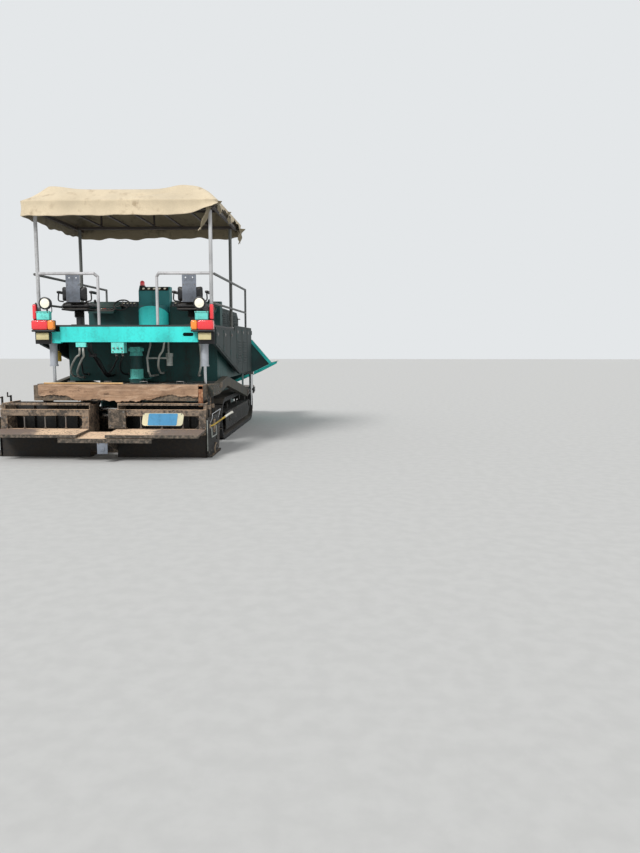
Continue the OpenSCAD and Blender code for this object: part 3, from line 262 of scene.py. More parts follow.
def caked(name, steel, crust, amount, lift, shine=0.0, dark_below=0.0, pipe=None, top=None):
    """Steel under dried asphalt and dust: crust thick where the surface looks up, bare on rubs.

    Faces that look up, and the edges, may take a painted sunlit colour. It is darkened below one
    height, as tar and painted shade, and chromed within a pipe's radius of its (y, z) axis."""
    g = material_graph(name)
    clots = g.noise(26.0, 6.0, 0.62)
    film = g.noise(5.0, 4.0)
    fine = g.noise(210.0, 3.0)
    up = g.facing_up().step(0.2, 0.9)
    cover = (clots + film * 0.6 + up * 0.35).step(1.15 - amount, 1.45 - amount)
    edge = g.edges(0.005) * clots.step(0.35, 0.6)
    base = g.mix(cover, g.patchy(steel, 0.65, film), g.patchy(crust, 0.7, fine, end=0.75))
    # Painted sunlight: the top colour on faces that look up and on edges.
    if top:
        base = g.mix(g.facing_up().step(0.5, 0.9) * film.step(0.25, 0.5), base, top)
    base = g.mix(edge * 0.55, base, top or rgb(168, 150, 130))
    metal = (1 - cover) * shine
    relief = clots * cover + fine * 0.15
    gloss = 0.75 + (cover - 0.5) * 0.2
    # Below dark_below the colour is near black, for tar and painted shade.
    if dark_below:
        tar = 1 - (g.axis(2) + (clots - 0.5) * 0.12).step(dark_below - 0.03, dark_below + 0.03)
        base = g.mix(tar * 0.9, base, g.mix(clots.step(0.4, 0.75), rgb(8, 11, 12), rgb(22, 23, 24)))
    if pipe:
        y, z, radius = pipe
        bright = ((g.axis(1) - y) ** 2 + (g.axis(2) - z) ** 2) < radius**2
        chrome = g.mix(film.step(0.45, 0.8), rgb(208, 208, 206), rgb(120, 104, 88))
        base = g.mix(bright, base, chrome)
        metal = metal.high(bright * 0.95)
        gloss = gloss * (1 - bright) + bright * (0.12 + film * 0.2)
        relief = relief * (1 - bright)
    return g.surface(
        base_color=base, roughness=gloss, metallic=metal, normal=g.bump(relief, 0.8, lift)
    )


def bare_metal(name, colour, rough, scratch, stain):
    """Bright metal with fine rubbing marks and a film of rust or oil."""
    g = material_graph(name)
    cloud = g.noise(6.0, 5.0)
    marks = g.noise(90.0, 3.0, stretch=(1, 1, 0.12))
    speck = g.noise(70.0, 4.0, 0.7)
    film = (cloud * 0.8 + speck * 0.5).step(0.62, 0.86) * stain
    return g.surface(
        base_color=g.mix(film, g.patchy(colour, 0.8, cloud), OILY_RUST),
        roughness=rough + marks * scratch * 0.4 + film * 0.5,
        metallic=1 - film,
        normal=g.bump(marks, 0.15, 0.0004),
    )


def moulded(name, colour, rough, dust, grain_size=320.0):
    """Plastic, rubber or vinyl: a fine moulded grain under dust that gathers on top."""
    g = material_graph(name)
    grain = g.noise(grain_size, 2.0)
    cloud = g.noise(7.0, 5.0, 0.6)
    settled = (g.facing_up() * 0.6 + cloud).step(0.55, 1.25) * dust
    return g.surface(
        base_color=g.mix(settled, g.patchy(colour, 0.75, cloud), rgb(132, 121, 106)),
        roughness=rough + settled * 0.3,
        normal=g.bump(grain + cloud * 0.4, 0.25, 0.0005),
    )


def lens(name, colour, glow):
    """Ribbed lamp glass: lighter ribs and a faint glow are painted light for a bright bowl behind
    it.
    """
    g = material_graph(name)
    ribs = abs((g.axis(0) * 640.0).sine())
    dirt = g.noise(60.0, 4.0).step(0.52, 0.75)
    base = g.mix(ribs * 0.35, colour, shade(colour, 1.5, 0.04))
    return g.surface(
        base_color=g.mix(dirt * 0.4, base, rgb(120, 104, 86)),
        roughness=0.16 + dirt * 0.4,
        coat_weight=0.6,
        # Painted light: the glass glows faintly.
        emission_color=colour,
        emission_strength=glow,
        normal=g.bump(ribs, 0.3, 0.0008),
    )


def cloth(name, colour, stain):
    """Woven cloth: warp and weft from two sine waves on the piece's UV map, stains and fading."""
    g = material_graph(name)
    spot = g.node("ShaderNodeUVMap", {"uv_map": "UVMap"})
    turn = 2 * math.pi / THREAD
    weave = (g.part(spot, 0) * turn).sine() * (g.part(spot, 1) * turn).sine()
    cloud = g.noise(1.6, 5.0, 0.6)
    blot = g.noise(6.5, 6.0, 0.65)
    fine = g.noise(120.0, 3.0)
    mark = (blot * 0.8 + cloud * 0.4).step(0.62, 0.85)
    tone = g.mix(mark * 0.75, g.patchy(colour, 0.8, cloud), stain)
    return g.surface(
        base_color=g.mix((fine + weave * 0.25).step(0.35, 0.8) * 0.22, tone, shade(stain, 0.5)),
        roughness=0.9,
        sheen_weight=0.25,
        normal=g.bump(weave * 0.6 + fine * 0.8 + blot * 0.8, 0.5, 0.001),
    )


def worn_mat(name, colour, dark, pale):
    """Stiff felt soaked with tar: long creases, pale ridges along them and ragged stains."""
    g = material_graph(name)
    cloud = g.noise(2.6, 5.0, 0.65, (1, 1, 1.6))
    blot = g.noise(9.0, 6.0, 0.7, (0.7, 1, 1.5))
    crease = g.noise(5.0, 3.0, 0.4, (0.35, 1.0, 2.6))
    fine = g.noise(150.0, 3.0)
    ridge = 1 - abs(crease - 0.5) * 9.0
    base = g.patchy(colour, 0.62, cloud, 0.32, 0.68)
    base = g.mix((blot * 0.9 + cloud * 0.3).step(0.62, 0.8) * 0.75, base, dark)
    base = g.mix(ridge.step(0.3, 1.0) * blot.step(0.35, 0.6) * 0.45, base, pale)
    base = g.mix(fine.step(0.4, 0.8) * 0.25, base, dark)
    relief = crease * 3.0 + blot + fine * 0.1
    return g.surface(base_color=base, roughness=0.92, normal=g.bump(relief, 1.0, 0.012))


def shaded_shield_mask(g):
    """1 on the rear shield's back face, but not on the band along its edge, which stands proud."""
    # The shield's back face takes a dark colour as painted shade.
    y = g.axis(1)
    return (y < SHIELD_Y + 0.002) * (y > SHIELD_Y - 0.002)


def bed_mask(g):
    """1 on the faces that the mix lies on."""
    return g.facing_up().step(0.25, 0.5)


def tower_mask(g):
    """1 on the narrow tower in the middle of the consoles."""
    return (abs(g.axis(0)) < 0.25) * (g.axis(2) > 2.0)


def left_end_mask(g):
    """1 on the end piece left of the beam."""
    return g.axis(0) < -0.85


def collar_mask(g):
    """1 on the auger drive's foot and cap, 0 on the dark cylinder between them."""
    z = g.axis(2)
    return (z > 0.995) * (1 - (z > 1.139) * (z < 1.329)) * (z < 1.47)


def canopy_shadow_mask(g):
    """1 on the cowl above an arch, z > 1.985 + 0.1 * sqrt(1 - (x / 0.225)^2), and on its top."""
    # The mask marks the canopy's painted shadow on the cowl.
    bow = ((1 - (g.axis(0) / 0.225) ** 2).high(0.0)) ** 0.5
    return g.axis(2) > bow * 0.1 + 1.985


def side_rail_mask(g):
    """1 on the rails along both sides."""
    return abs(g.axis(0)) > FLOOR_X - 0.01


def shaded_front_post_mask(g):
    """1 on the canopy's front posts."""
    # These posts are darkened as painted shade.
    return g.axis(1) > at(1.2)


def roof_shade_mask(g):
    """1 on the tubes under the canvas."""
    # These tubes are darkened as painted shade.
    return g.axis(2) > CANOPY[0][2] + 0.1


def chequered(name, colour):
    """Chequer plate: raised dashes, turned by a quarter in every second cell, on what looks up."""
    g = material_graph(name)
    across, along = g.axis(0) * 52.0, g.axis(1) * 52.0
    cell = (across.sine() * along.sine()) > 0
    dash = ((across + along).sine() * cell + (across - along).sine() * (1 - cell)).step(0.5, 0.8)
    up = g.facing_up().step(0.7, 0.95)
    cloud = g.noise(3.0, 5.0)
    grain = g.noise(60.0, 4.0)
    base = g.patchy(colour, 0.7, cloud)
    base = g.mix(up * (cloud * 0.6 + grain * 0.4).step(0.4, 0.75) * 0.7, base, rgb(128, 116, 100))
    base = g.mix(up * dash * 0.35, base, rgb(150, 146, 140))
    return g.surface(
        base_color=base,
        roughness=0.6 - dash * up * 0.15,
        normal=g.bump(dash * up + grain * 0.1, 0.6, 0.002),
    )


def stepped(name, pale, dull, left, right):
    """Board pale between two places in X and dull past them, dark on its upright faces."""
    g = material_graph(name)
    cloud = g.noise(4.0, 5.0, 0.6)
    clots = g.noise(24.0, 6.0, 0.62)
    fine = g.noise(180.0, 3.0)
    x = g.axis(0) + (cloud - 0.5) * 0.8
    past = x.step(right - 0.12, right + 0.12).high(1 - x.step(left - 0.12, left + 0.12))
    base = g.mix(past, pale, dull)
    base = g.mix((clots * 0.8 + cloud * 0.35).step(0.55, 0.75) * 0.65, base, rgb(120, 98, 80))
    base = g.mix(fine.step(0.45, 0.8) * 0.28, base, rgb(70, 60, 52))
    up = g.facing_up().step(0.3, 0.7)
    base = g.mix(up, g.mix(clots.step(0.4, 0.7), rgb(64, 60, 54), rgb(128, 114, 100)), base)
    return g.surface(base_color=base, roughness=0.9, normal=g.bump(clots + fine * 0.2, 0.7, 0.003))


FINISHES = {}


def make_finishes(paint):
    """Every material of the machine, from the colours in the paint settings."""
    teal, deep, mint, panel, outside, inside = (
        tuple(getattr(paint, name))
        for name in ("teal", "deep_teal", "mint", "panel", "canvas", "canvas_inside")
    )
    crust = rgb(128, 112, 94)

    def extension(tube_z):
        row = (caked, rgb(76, 68, 60), rgb(156, 136, 116), 0.52, 0.002)
        # Below 0.3 m painted shade and tar; the last colour is painted sunlight on faces that look
        # up and on edges.
        return (*row, 0.0, 0.3, (at(-0.02), tube_z, GUIDE_RADIUS), rgb(222, 186, 152))

    recipes = {
        # Colour, roughness, dust, chips, grime, what shows under chips, zones
        "teal_paint": (painted, teal, 0.38, 0.25, 0.7, 0.22),
        "mint_paint": (painted, mint, 0.5, 0.3, 0.6, 0.35),
        "deep_teal": (painted, deep, 0.5, 0.35, 0.7, 0.6),
        "panel_green": (painted, panel, 0.62, 0.14, 0.5, 0.4),
        "black_paint": (painted, rgb(30, 31, 32), 0.5, 0.45, 0.4, 0.4),
        "grey_paint": (painted, rgb(198, 197, 198), 0.45, 0.2, 0.8, 0.3, RUST),
        "pale_metal": (painted, rgb(176, 182, 176), 0.4, 0.3, 0.5, 0.5),
        "plate_grey": (painted, rgb(118, 124, 134), 0.5, 0.2, 0.5, 0.3),
        "white_paint": (painted, rgb(222, 220, 210), 0.5, 0.3, 0.5, 0.45),
        "blue_paint": (painted, rgb(84, 158, 204), 0.45, 0.2, 0.4, 0.25),
        "yellow_paint": (painted, rgb(206, 172, 62), 0.5, 0.35, 0.8, 0.45),
        "pole_paint": (painted, rgb(232, 190, 132), 0.5, 0.2, 0.4, 0.2),
        # On the wings the shield's back face is painted shade; the bed's colour is its asphalt.
        "wing_paint": (
            painted, teal, 0.4, 0.3, 0.7, 0.35, PRIMER,
            [(shaded_shield_mask, rgb(34, 60, 60)), (bed_mask, rgb(58, 54, 50))],
        ),
        # Painted light on the cowl: its teal lifted 1.25 times as painted sunlight, darker above
        # the arch as the canopy's painted shadow.
        "cowl_paint": (
            painted, shade(teal, 1.25), 0.4, 0.15, 0.5, 0.12, PRIMER,
            [(canopy_shadow_mask, rgb(44, 112, 116))],
        ),
        "rail_paint": (
            painted, rgb(198, 197, 198), 0.45, 0.2, 0.8, 0.3, RUST,
            [(side_rail_mask, rgb(84, 88, 86))],
        ),
        "tower_paint": (
            painted, deep, 0.5, 0.3, 0.6, 0.4, PRIMER, [(tower_mask, rgb(60, 150, 152))],
        ),
        "fitting_paint": (painted, mint, 0.5, 0.2, 0.6, 0.3, PRIMER, [(left_end_mask, teal)]),
        "drive_paint": (painted, deep, 0.5, 0.3, 0.7, 0.5, PRIMER, [(collar_mask, mint)]),
        # Painted shade darkens the front posts and the tubes under the canvas.
        "roof_frame": (
            painted, rgb(190, 190, 190), 0.45, 0.25, 0.8, 0.3, RUST,
            [(shaded_front_post_mask, rgb(96, 98, 94)), (roof_shade_mask, rgb(56, 50, 46))],
        ),
        # Steel, crust, amount of it, height of its relief, shine
        "asphalt_steel": (caked, rgb(54, 51, 48), crust, 0.5, 0.0025, 0.3),
        "dusty_steel": (caked, rgb(88, 80, 72), rgb(178, 156, 132), 0.66, 0.0015),
        # Darker than its tar alone: partly painted shade.
        "tarred_steel": (caked, rgb(20, 21, 21), rgb(44, 42, 38), 0.5, 0.004),
        "lump_crust": (caked, rgb(70, 62, 54), rgb(150, 130, 110), 0.5, 0.001),
        "arm_paint": (caked, rgb(48, 54, 50), rgb(92, 86, 74), 0.5, 0.002),
        "rust_plate": (caked, rgb(150, 92, 58), rgb(206, 158, 118), 0.5, 0.0015),
        "frame_left": extension(0.61),
        "frame_right": extension(0.515),
        # Colour, roughness, scratches, stains
        "worn_steel": (bare_metal, rgb(142, 138, 134), 0.38, 0.4, 0.7),
        "rusty_steel": (bare_metal, rgb(122, 84, 60), 0.6, 0.4, 1.0),
        "rod_chrome": (bare_metal, rgb(206, 208, 210), 0.12, 0.15, 0.2),
        # Colour, roughness, dust, scale of the grain
        "track_rubber": (moulded, rgb(27, 28, 29), 0.75, 0.4, 120.0),
        "hose_rubber": (moulded, rgb(36, 36, 38), 0.5, 0.3),
        "pale_hose": (moulded, rgb(206, 208, 200), 0.55, 0.2),
        "sleeve_grey": (moulded, rgb(176, 180, 186), 0.6, 0.25),
        "black_plastic": (moulded, rgb(26, 26, 28), 0.45, 0.35),
        "seat_black": (moulded, rgb(28, 28, 30), 0.46, 0.3, 420.0),
        "cream_board": (moulded, rgb(226, 212, 160), 0.6, 0.5),
        "sign_cream": (moulded, rgb(240, 234, 198), 0.5, 0.25),
        # Colour, glow
        "amber_lens": (lens, rgb(238, 132, 38), 0.15),
        "red_lens": (lens, rgb(222, 44, 52), 0.15),
        "clear_lens": (lens, rgb(236, 230, 206), 0.25),
        # Colours, and the ends in X of the board's pale stretch
        "chequer": (chequered, rgb(52, 54, 54)),
        "step_board": (stepped, rgb(242, 208, 174), rgb(128, 112, 102), -0.95, 0.55),
        "canvas": (cloth, outside, rgb(150, 124, 92)),
        "canvas_inside": (cloth, inside, rgb(58, 48, 36)),
        "mat": (worn_mat, rgb(180, 146, 118), rgb(70, 52, 40), rgb(220, 190, 162)),
    }
    FINISHES.update({name: maker(name, *row) for name, (maker, *row) in recipes.items()})


# Shapes: each is a pair of vertices and faces


def grid_faces(rows, columns, wrap_rows=False, wrap_columns=False):
    """Quads of a grid of rows by columns points, closed round where asked."""
    r = np.arange(rows if wrap_rows else rows - 1)
    c = np.arange(columns if wrap_columns else columns - 1)
    r, c = (part.ravel() for part in np.meshgrid(r, c, indexing="ij"))
    r2, c2 = (r + 1) % rows, (c + 1) % columns
    return np.stack([r * columns + c, r * columns + c2, r2 * columns + c2, r2 * columns + c], 1)


def ramp(values, start, end):
    """0 below start, 1 above end and 3 t^2 - 2 t^3 between them."""
    t = np.clip((values - start) / (end - start), 0, 1)
    return t * t * (3 - 2 * t)


def ring(sides, start=0.0):
    """Cosines and sines of evenly spaced angles once round."""
    angle = start + np.arange(sides) * 2 * math.pi / sides
    return np.stack([np.cos(angle), np.sin(angle)], 1)


def square_to(axis):
    """Unit vector square to this one, level unless it is steep."""
    across = np.cross(axis, UP if abs(axis[2]) < 0.9 else RIGHT)
    return across / np.linalg.norm(across)


def frames(path):
    """Two unit vectors across a path at each point, turned as little as possible along it."""
    along = np.gradient(path, axis=0)
    along /= np.linalg.norm(along, axis=1)[:, None]
    across = [square_to(along[0])]
    for t in along[1:]:
        v = across[-1] - t * np.dot(across[-1], t)
        across.append(v / np.linalg.norm(v))
    across = np.array(across)
    return across, np.cross(along, across)


def rings(centres, radius, across, over, sides, start=0.0):
    """Point = centre + radius * (cos a * across + sin a * over), for evenly spaced angles."""
    c, s = ring(sides, start).T[:, :, None]
    radii = np.broadcast_to(radius, len(centres))[:, None, None]
    across, over = np.reshape(across, (-1, 1, 3)), np.reshape(over, (-1, 1, 3))
    return centres[:, None] + radii * (c * across + s * over)


def capped(points):
    """Rings of points joined into a skin, with the first and last ring closed by a fan."""
    rows, sides = points.shape[:2]
    skin = grid_faces(rows, sides, wrap_columns=True)
    v = np.vstack([points.reshape(-1, 3), points[0].mean(0)[None], points[-1].mean(0)[None]])
    k = np.arange(sides)
    start, end = rows * sides, rows * sides + 1
    first = np.stack([np.full(sides, start), (k + 1) % sides, k], 1)
    last_row = (rows - 1) * sides
    last = np.stack([np.full(sides, end), last_row + k, last_row + (k + 1) % sides], 1)
    return v, [*skin.tolist(), *first.tolist(), *last.tolist()]


def smooth_path(points, count):
    """Catmull-Rom curve through points: cubic between each pair, tangents from the neighbours."""
    p = np.array(points, float)
    p = np.vstack([2 * p[0] - p[1], p, 2 * p[-1] - p[-2]])
    where = np.linspace(0, len(p) - 3 - 1e-9, count)
    i = where.astype(int)
    t = (where - i)[:, None]
    a, b, c, d = p[i], p[i + 1], p[i + 2], p[i + 3]
    return 0.5 * (
        2 * b + (c - a) * t + (2 * a - 5 * b + 4 * c - d) * t**2 + (3 * b - a - 3 * c + d) * t**3
    )


def tube(path, radius, sides=12):
    """Round bar along a path, closed by a fan at each end."""
    path = np.array(path, float)
    return capped(rings(path, radius, *frames(path), sides))


def loop_tube(path, radius, sides=8):
    """Round bar along a closed path, without ends."""
    across, over = frames(np.vstack([path[-2:], path, path[:2]]))
    points = rings(path, radius, across[2:-2], over[2:-2], sides)
    return points.reshape(-1, 3), grid_faces(len(path), sides, True, True).tolist()


def turned(profile, base, axis, sides):
    """Solid of revolution: profile rows are (distance along axis from base, radius)."""
    along, radius = np.array(profile, float).T
    axis = np.array(axis, float) / np.linalg.norm(axis)
    across = square_to(axis)
    centres = np.array(base, float) + along[:, None] * axis
    return capped(rings(centres, radius, across, np.cross(axis, across), sides, math.pi / sides))


def pillow(low, high, radius, turns=4):
    """Box with round edges: corner centre + radius * unit sphere, spread to the eight corners."""
    low, high = np.array(low, float), np.array(high, float)
    middle, half = (low + high) / 2, (high - low) / 2
    radius = min(radius, *(half * 0.999))
    quarter = np.linspace(0, math.pi / 2, turns)
    angle = np.concatenate([quarter + k * math.pi / 2 for k in range(4)])
    rise = np.concatenate([quarter - math.pi / 2, quarter])[:, None]
    sign_x, sign_y = np.repeat([[1, -1, -1, 1], [1, 1, -1, -1]], turns, axis=1)
    sign_z = np.repeat([-1, 1], turns)[:, None]
    parts = [np.cos(rise) * np.cos(angle), np.cos(rise) * np.sin(angle), np.sin(rise)]
    unit = np.stack(np.broadcast_arrays(*parts), 2)
    sign = np.stack(np.broadcast_arrays(sign_x[None], sign_y[None], sign_z), 2)
    return capped(middle + sign * (half - radius) + radius * unit)


def plate(outline, start, depth, across, over, bevel=0.002):
    """Flat plate: the outline's (u, v) points, drawn in by the bevel on both faces."""
    outline = np.array(outline, float)
    across, over = np.array(across, float), np.array(over, float)
    through = np.cross(across, over)
    middle = outline.mean(0)
    size = np.abs(outline - middle).max()
    small = middle + (outline - middle) * (1 - bevel / size)
    rows = [(small, 0.0), (outline, bevel), (outline, depth - bevel), (small, depth)]
    points = np.array(
        [np.array(start) + p[:, :1] * across + p[:, 1:] * over + through * d for p, d in rows]
    )
    return capped(points)


def bolt(place, axis, size, height):
    """Hexagon head on a washer: six-sided solid of revolution with a chamfer."""
    head = turned([(0.002, size), (height * 0.8, size), (height, size * 0.85)], place, axis, 6)
    washer = turned([(0, size * 1.3), (0.002, size * 1.3)], place, axis, 12)
    return joined([washer, head])


def joined(shapes):
    """Several shapes as one pair of vertices and faces."""
    vertices, faces, offset = [], [], 0
    for v, f in shapes:
        vertices.append(v)
        faces.extend([[i + offset for i in face] for face in f])
        offset += len(v)
    return np.vstack(vertices), faces


def mirrored(shape, sign):
    """The shape on the machine's left for sign -1: X turned over and the faces turned round."""
    if sign > 0:
        return shape
    v, f = shape
    return v * np.array([-1.0, 1.0, 1.0]), [list(face)[::-1] for face in f]


class Forms(list):
    """Pairs of finish and shape that make up one piece."""

    def add(self, look, *shapes):
        self.extend((look, shape) for shape in shapes)

    def screw(self, places, axis, head):
        """Bolt heads of this radius at these points, both in millimetres."""
        heads = [bolt(mm(*place), axis, head / 1000, head * 0.0007) for place in places]
        self.add("worn_steel", joined(heads))

    def on_side(self, sign, shift=0.0):
        """The forms shifted along X, then mirrored to the left for sign -1."""
        return Forms((look, mirrored((v + [shift, 0, 0], f), sign)) for look, (v, f) in self)

    def on_both(self):
        """The forms on the left and on the right."""
        return Forms(pair for _, sign in SIDES for pair in self.on_side(sign))


def piece(name, forms, body, angle=38.0, uv=None):
    """One mesh from pairs of finish and shape, attached to its body."""
    v, f = joined([shape for _, shape in forms])
    mesh = bpy.data.meshes.new(name)
    mesh.from_pydata(np.asarray(v, np.float32).tolist(), [], f)
    used = sorted({look for look, _ in forms})
    for look in used:
        mesh.materials.append(FINISHES[look])
    counts = [len(faces) for _, (_, faces) in forms]
    index = np.repeat([used.index(look) for look, _ in forms], counts)
    mesh.polygons.foreach_set("material_index", index.astype(np.int32))
    mesh.validate()
    mesh.update()
    mesh.shade_smooth()
    mesh.set_sharp_from_angle(angle=math.radians(angle))
    if uv is not None:
        layer = mesh.uv_layers.new(name="UVMap")
        index = np.zeros(len(mesh.loops), np.int32)
        mesh.loops.foreach_get("vertex_index", index)
        layer.data.foreach_set("uv", np.asarray(uv, np.float32)[index].ravel())
    made = bpy.data.objects.new(name, mesh)
    bpy.context.scene.collection.objects.link(made)
    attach(made, body)
    return made


def thicken(made, thickness):
    """Gives a sheet its thickness, inward from its outer face."""
    thick = made.modifiers.new("thickness", "SOLIDIFY")
    thick.thickness = thickness
    thick.offset = -1.0
    return thick


# Shapes in millimetres, as X, distance ahead of the rear plane and Z


def mm(x, d, z):
    """Point in metres from X, distance ahead of the rear plane and Z in millimetres."""
    return np.array([x / 1000, at(d / 1000), z / 1000])


def slab(low, high, rounding):
    """Round-edged box between two corners."""
    return pillow(mm(*low), mm(*high), rounding / 1000, 3)


def rod(points, radius, count=0, sides=10):
    """Round bar through points, on a smooth curve where a count is given."""
    path = np.array([mm(*point) for point in points])
    return tube(smooth_path(path, count) if count else path, radius / 1000, sides)


def knob(place, axis, radius, height):
    """Turned button at a point in metres: a short neck under a crowned head."""
    r, h = radius / 1000, height / 1000
    rows = [(0, r * 0.7), (h * 0.35, r * 0.7), (h * 0.45, r), (h * 0.85, r), (h, r * 0.7)]
    return turned(rows, place, axis, 16)


# Settings


def size(name, text, value, low=0.0, high=20.0):
    return FloatProperty(
        name=name, description=text, default=value, min=low, max=high, unit="LENGTH",
        subtype="DISTANCE",
    )


def bearing(name, text, degrees):
    return FloatProperty(
        name=name, description=text, default=math.radians(degrees), unit="ROTATION", subtype="ANGLE"
    )


def tint(name, text, value):
    return FloatVectorProperty(
        name=name, description=text, default=value, size=3, min=0.0, max=1.0, subtype="COLOR"
    )


class PAVER_PG_paint(bpy.types.PropertyGroup):
    teal: tint("Teal", "Bright enamel of beam, cowl and wings", rgb(58, 226, 218))
    mint: tint("Mint", "Chalky primer of the small castings", rgb(116, 232, 220))
    deep_teal: tint("Deep teal", "Dark enamel of housing and column", rgb(22, 78, 76))
    # The panel colour is darker than the enamel alone, partly painted shade on the sides.
    panel: tint("Panel", "Green grey enamel of the side panels", rgb(26, 46, 46))
    canvas: tint("Canvas", "Weathered cloth of the canopy, outside", rgb(232, 214, 182))
    # The inner face's colour is painted shade, lifted by painted light shining through the cloth.
    canvas_inside: tint("Canvas inside", "Shaded face of the canopy cloth", rgb(146, 134, 108))


class PAVER_PG_stage(bpy.types.PropertyGroup):
    camera_place: FloatVectorProperty(
        name="Camera place",
        description="Where the photograph was taken from",
        default=(3.07, -12.13, 1.5),
        subtype="TRANSLATION",
        unit="LENGTH",
    )
    camera_tilt: bearing("Camera tilt", "Angle of the view below level", 6.58)
    camera_turn: bearing("Camera turn", "Angle of the view to the left of travel", 2.24)
    lens_mm: FloatProperty(
        name="Lens", description="Focal length in millimetres", default=30.2, min=10.0, max=200.0
    )
    floor_size: size("Floor", "Length of each side of the floor", 120.0, 10.0, 500.0)
    floor: tint("Floor colour", "Pale ground", rgb(206, 205, 202))
    backdrop: tint("Backdrop", "Colour behind the machine", rgb(228, 231, 233))


class PAVER_PG_canopy(bpy.types.PropertyGroup):
    cloth: size("Cloth", "Thickness of the canvas", 0.003, 0.001, 0.02)
    sag: size("Sag", "How far the top sinks between its bows", 0.05, 0.0, 0.3)
    puff: size("Puff", "How far the top stands up over the rear bow's ends", 0.05, 0.0, 0.1)
    pull: size("Pull", "Height of the folds on the slopes", 0.012, 0.0, 0.1)
    curl: size("Curl", "How far the rear edge turns up at the right", 0.13, 0.0, 0.2)
    flute: size("Flutes", "How far the hanging edge waves in and out", 0.014, 0.0, 0.1)
    scallop: size("Scallops", "How far the lower edge rises and falls", 0.022, 0.0, 0.1)


class PAVER_PG_seats(bpy.types.PropertyGroup):
    cap: size("Swell", "The most that a point of a cushion may move", 0.022, 0.0, 0.08)
    voxel: size("Voxel", "Mesh size of the cushions before they swell", 0.006, 0.003, 0.03)
    piping: size("Piping", "Radius of the seam cord", 0.004, 0.001, 0.02)


class PAVER_PG_mat(bpy.types.PropertyGroup):
    wave: size("Waves", "How far the lower edge rises and falls", 0.02, 0.0, 0.1)
    fold: size("Folds", "How far the hanging part bulges", 0.012, 0.0, 0.1)


class PAVER_PG_settings(bpy.types.PropertyGroup):
    paint: PointerProperty(type=PAVER_PG_paint)
    stage: PointerProperty(type=PAVER_PG_stage)
    canopy: PointerProperty(type=PAVER_PG_canopy)
    seats: PointerProperty(type=PAVER_PG_seats)
    mat: PointerProperty(type=PAVER_PG_mat)


# Stage


class PAVER_OT_stage(bpy.types.Operator):
    """Pale floor, soft light and the camera at the photograph's place"""

    bl_idname = "paver.stage"
    bl_label = "Stage"

    def execute(self, context):
        s = context.scene.paver.stage
        scene = context.scene
        scene.view_settings.view_transform = "Standard"
        half = s.floor_size / 2
        corners = [(-half, -half, 0), (half, -half, 0), (half, half, 0), (-half, half, 0)]
        mesh = bpy.data.meshes.new("floor")
        mesh.from_pydata(corners, [], [(0, 1, 2, 3)])
        floor = bpy.data.objects.new("floor", mesh)
        scene.collection.objects.link(floor)
        g = material_graph("floor")
        fine = g.noise(9.0, 5.0)
        tone = g.mix(fine.step(0.3, 0.7), shade(s.floor, 0.94), tuple(s.floor))
        mesh.materials.append(g.surface(base_color=tone, roughness=0.85))

        camera_data = bpy.data.cameras.new("camera")
        camera_data.lens = s.lens_mm
        camera_data.clip_end = 400.0
        camera = bpy.data.objects.new("camera", camera_data)
        camera.location = s.camera_place
        camera.rotation_euler = (math.pi / 2 - s.camera_tilt, 0.0, s.camera_turn)
        scene.collection.objects.link(camera)
        scene.camera = camera

        for name, strength, spread, turn in (
            ("key", 2.5, 18.0, (48.0, 0.0, -28.0)),
            ("fill", 0.55, 60.0, (62.0, 0.0, 62.0)),
        ):
            lamp = bpy.data.lights.new(name, "SUN")
            lamp.energy = strength
            lamp.angle = math.radians(spread)
            held = bpy.data.objects.new(name, lamp)
            held.rotation_euler = tuple(math.radians(a) for a in turn)
            scene.collection.objects.link(held)

        g = Graph(bpy.data.worlds.new("world"))
        camera_ray = g.node("ShaderNodeLightPath", out="Is Camera Ray")
        glossy_ray = g.node("ShaderNodeLightPath", out="Is Glossy Ray")
        sky = {"Color": (0.92, 0.96, 1.0, 1.0), "Strength": 0.42}
        soft = g.node("ShaderNodeBackground", None, sky)
        seen = g.node("ShaderNodeBackground", None, {"Color": (*s.backdrop, 1.0)})
        inputs = {0: camera_ray.high(glossy_ray), 1: soft, 2: seen}
        both = g.node("ShaderNodeMixShader", None, inputs)
        g.node("ShaderNodeOutputWorld", None, {"Surface": both})
        scene.world = g.owner
        return {"FINISHED"}


# Finishes of the solids that show as they are

CAD_FINISH = {
    "deep_teal": (
        "chassis", "tunnel_roof", "centre_wall", "front_frame", "engine_bay", "apron",
    ),
    "tarred_steel": (
        "track_frame", "track_rollers", "sprocket", "idler", "conveyor", "auger", "end_plate",
    ),
    "worn_steel": ("tunnel_floor", "push_roller"),
    "track_rubber": ("track",),
    "panel_green": ("side_panel", "hood"),
    "chequer": ("platform",),
    "teal_paint": ("rear_beam",),
    "cowl_paint": ("cowl",),
    "tower_paint": ("consoles",),
    "fitting_paint": ("rear_fittings",),
    "pale_metal": ("pipe_frame",),
    "hose_rubber": ("hoses",),
    "rod_chrome": ("tow_cylinders", "lift_rod"),
    "rail_paint": ("guard_rails",),
    "roof_frame": ("canopy_frame",),
    "canvas": ("canopy",),
    "black_plastic": ("lamp_clusters",),
    "drive_paint": ("auger_drive",),
    "sleeve_grey": ("lift_barrels",),
    "wing_paint": ("wing",),
    "black_paint": ("push_beam",),
    "seat_black": ("seat",),
    "asphalt_steel": ("screed_body",),
    "arm_paint": ("tow_arm",),
    "step_board": ("centre_step", "walkway"),
    "mat": ("screed_mat",),
    "frame_left": ("extension_left",),
    "frame_right": ("extension_right",),
}


class PAVER_OT_finishes(bpy.types.Operator):
    """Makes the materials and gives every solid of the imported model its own"""

    bl_idname = "paver.finishes"
    bl_label = "Finishes"

    def execute(self, context):
        make_finishes(context.scene.paver.paint)
        finish = {kind: look for look, kinds in CAD_FINISH.items() for kind in kinds}
        for name, node in NODES.items():
            kind = name.removesuffix("_left").removesuffix("_right")
            node.data.materials.clear()
            node.data.materials.append(FINISHES[finish.get(name) or finish[kind]])
        return {"FINISHED"}


# Canopy

EAVE_DROP = 0.205
HIP_IN = 0.30
INSET = 0.012
ROUND = 520


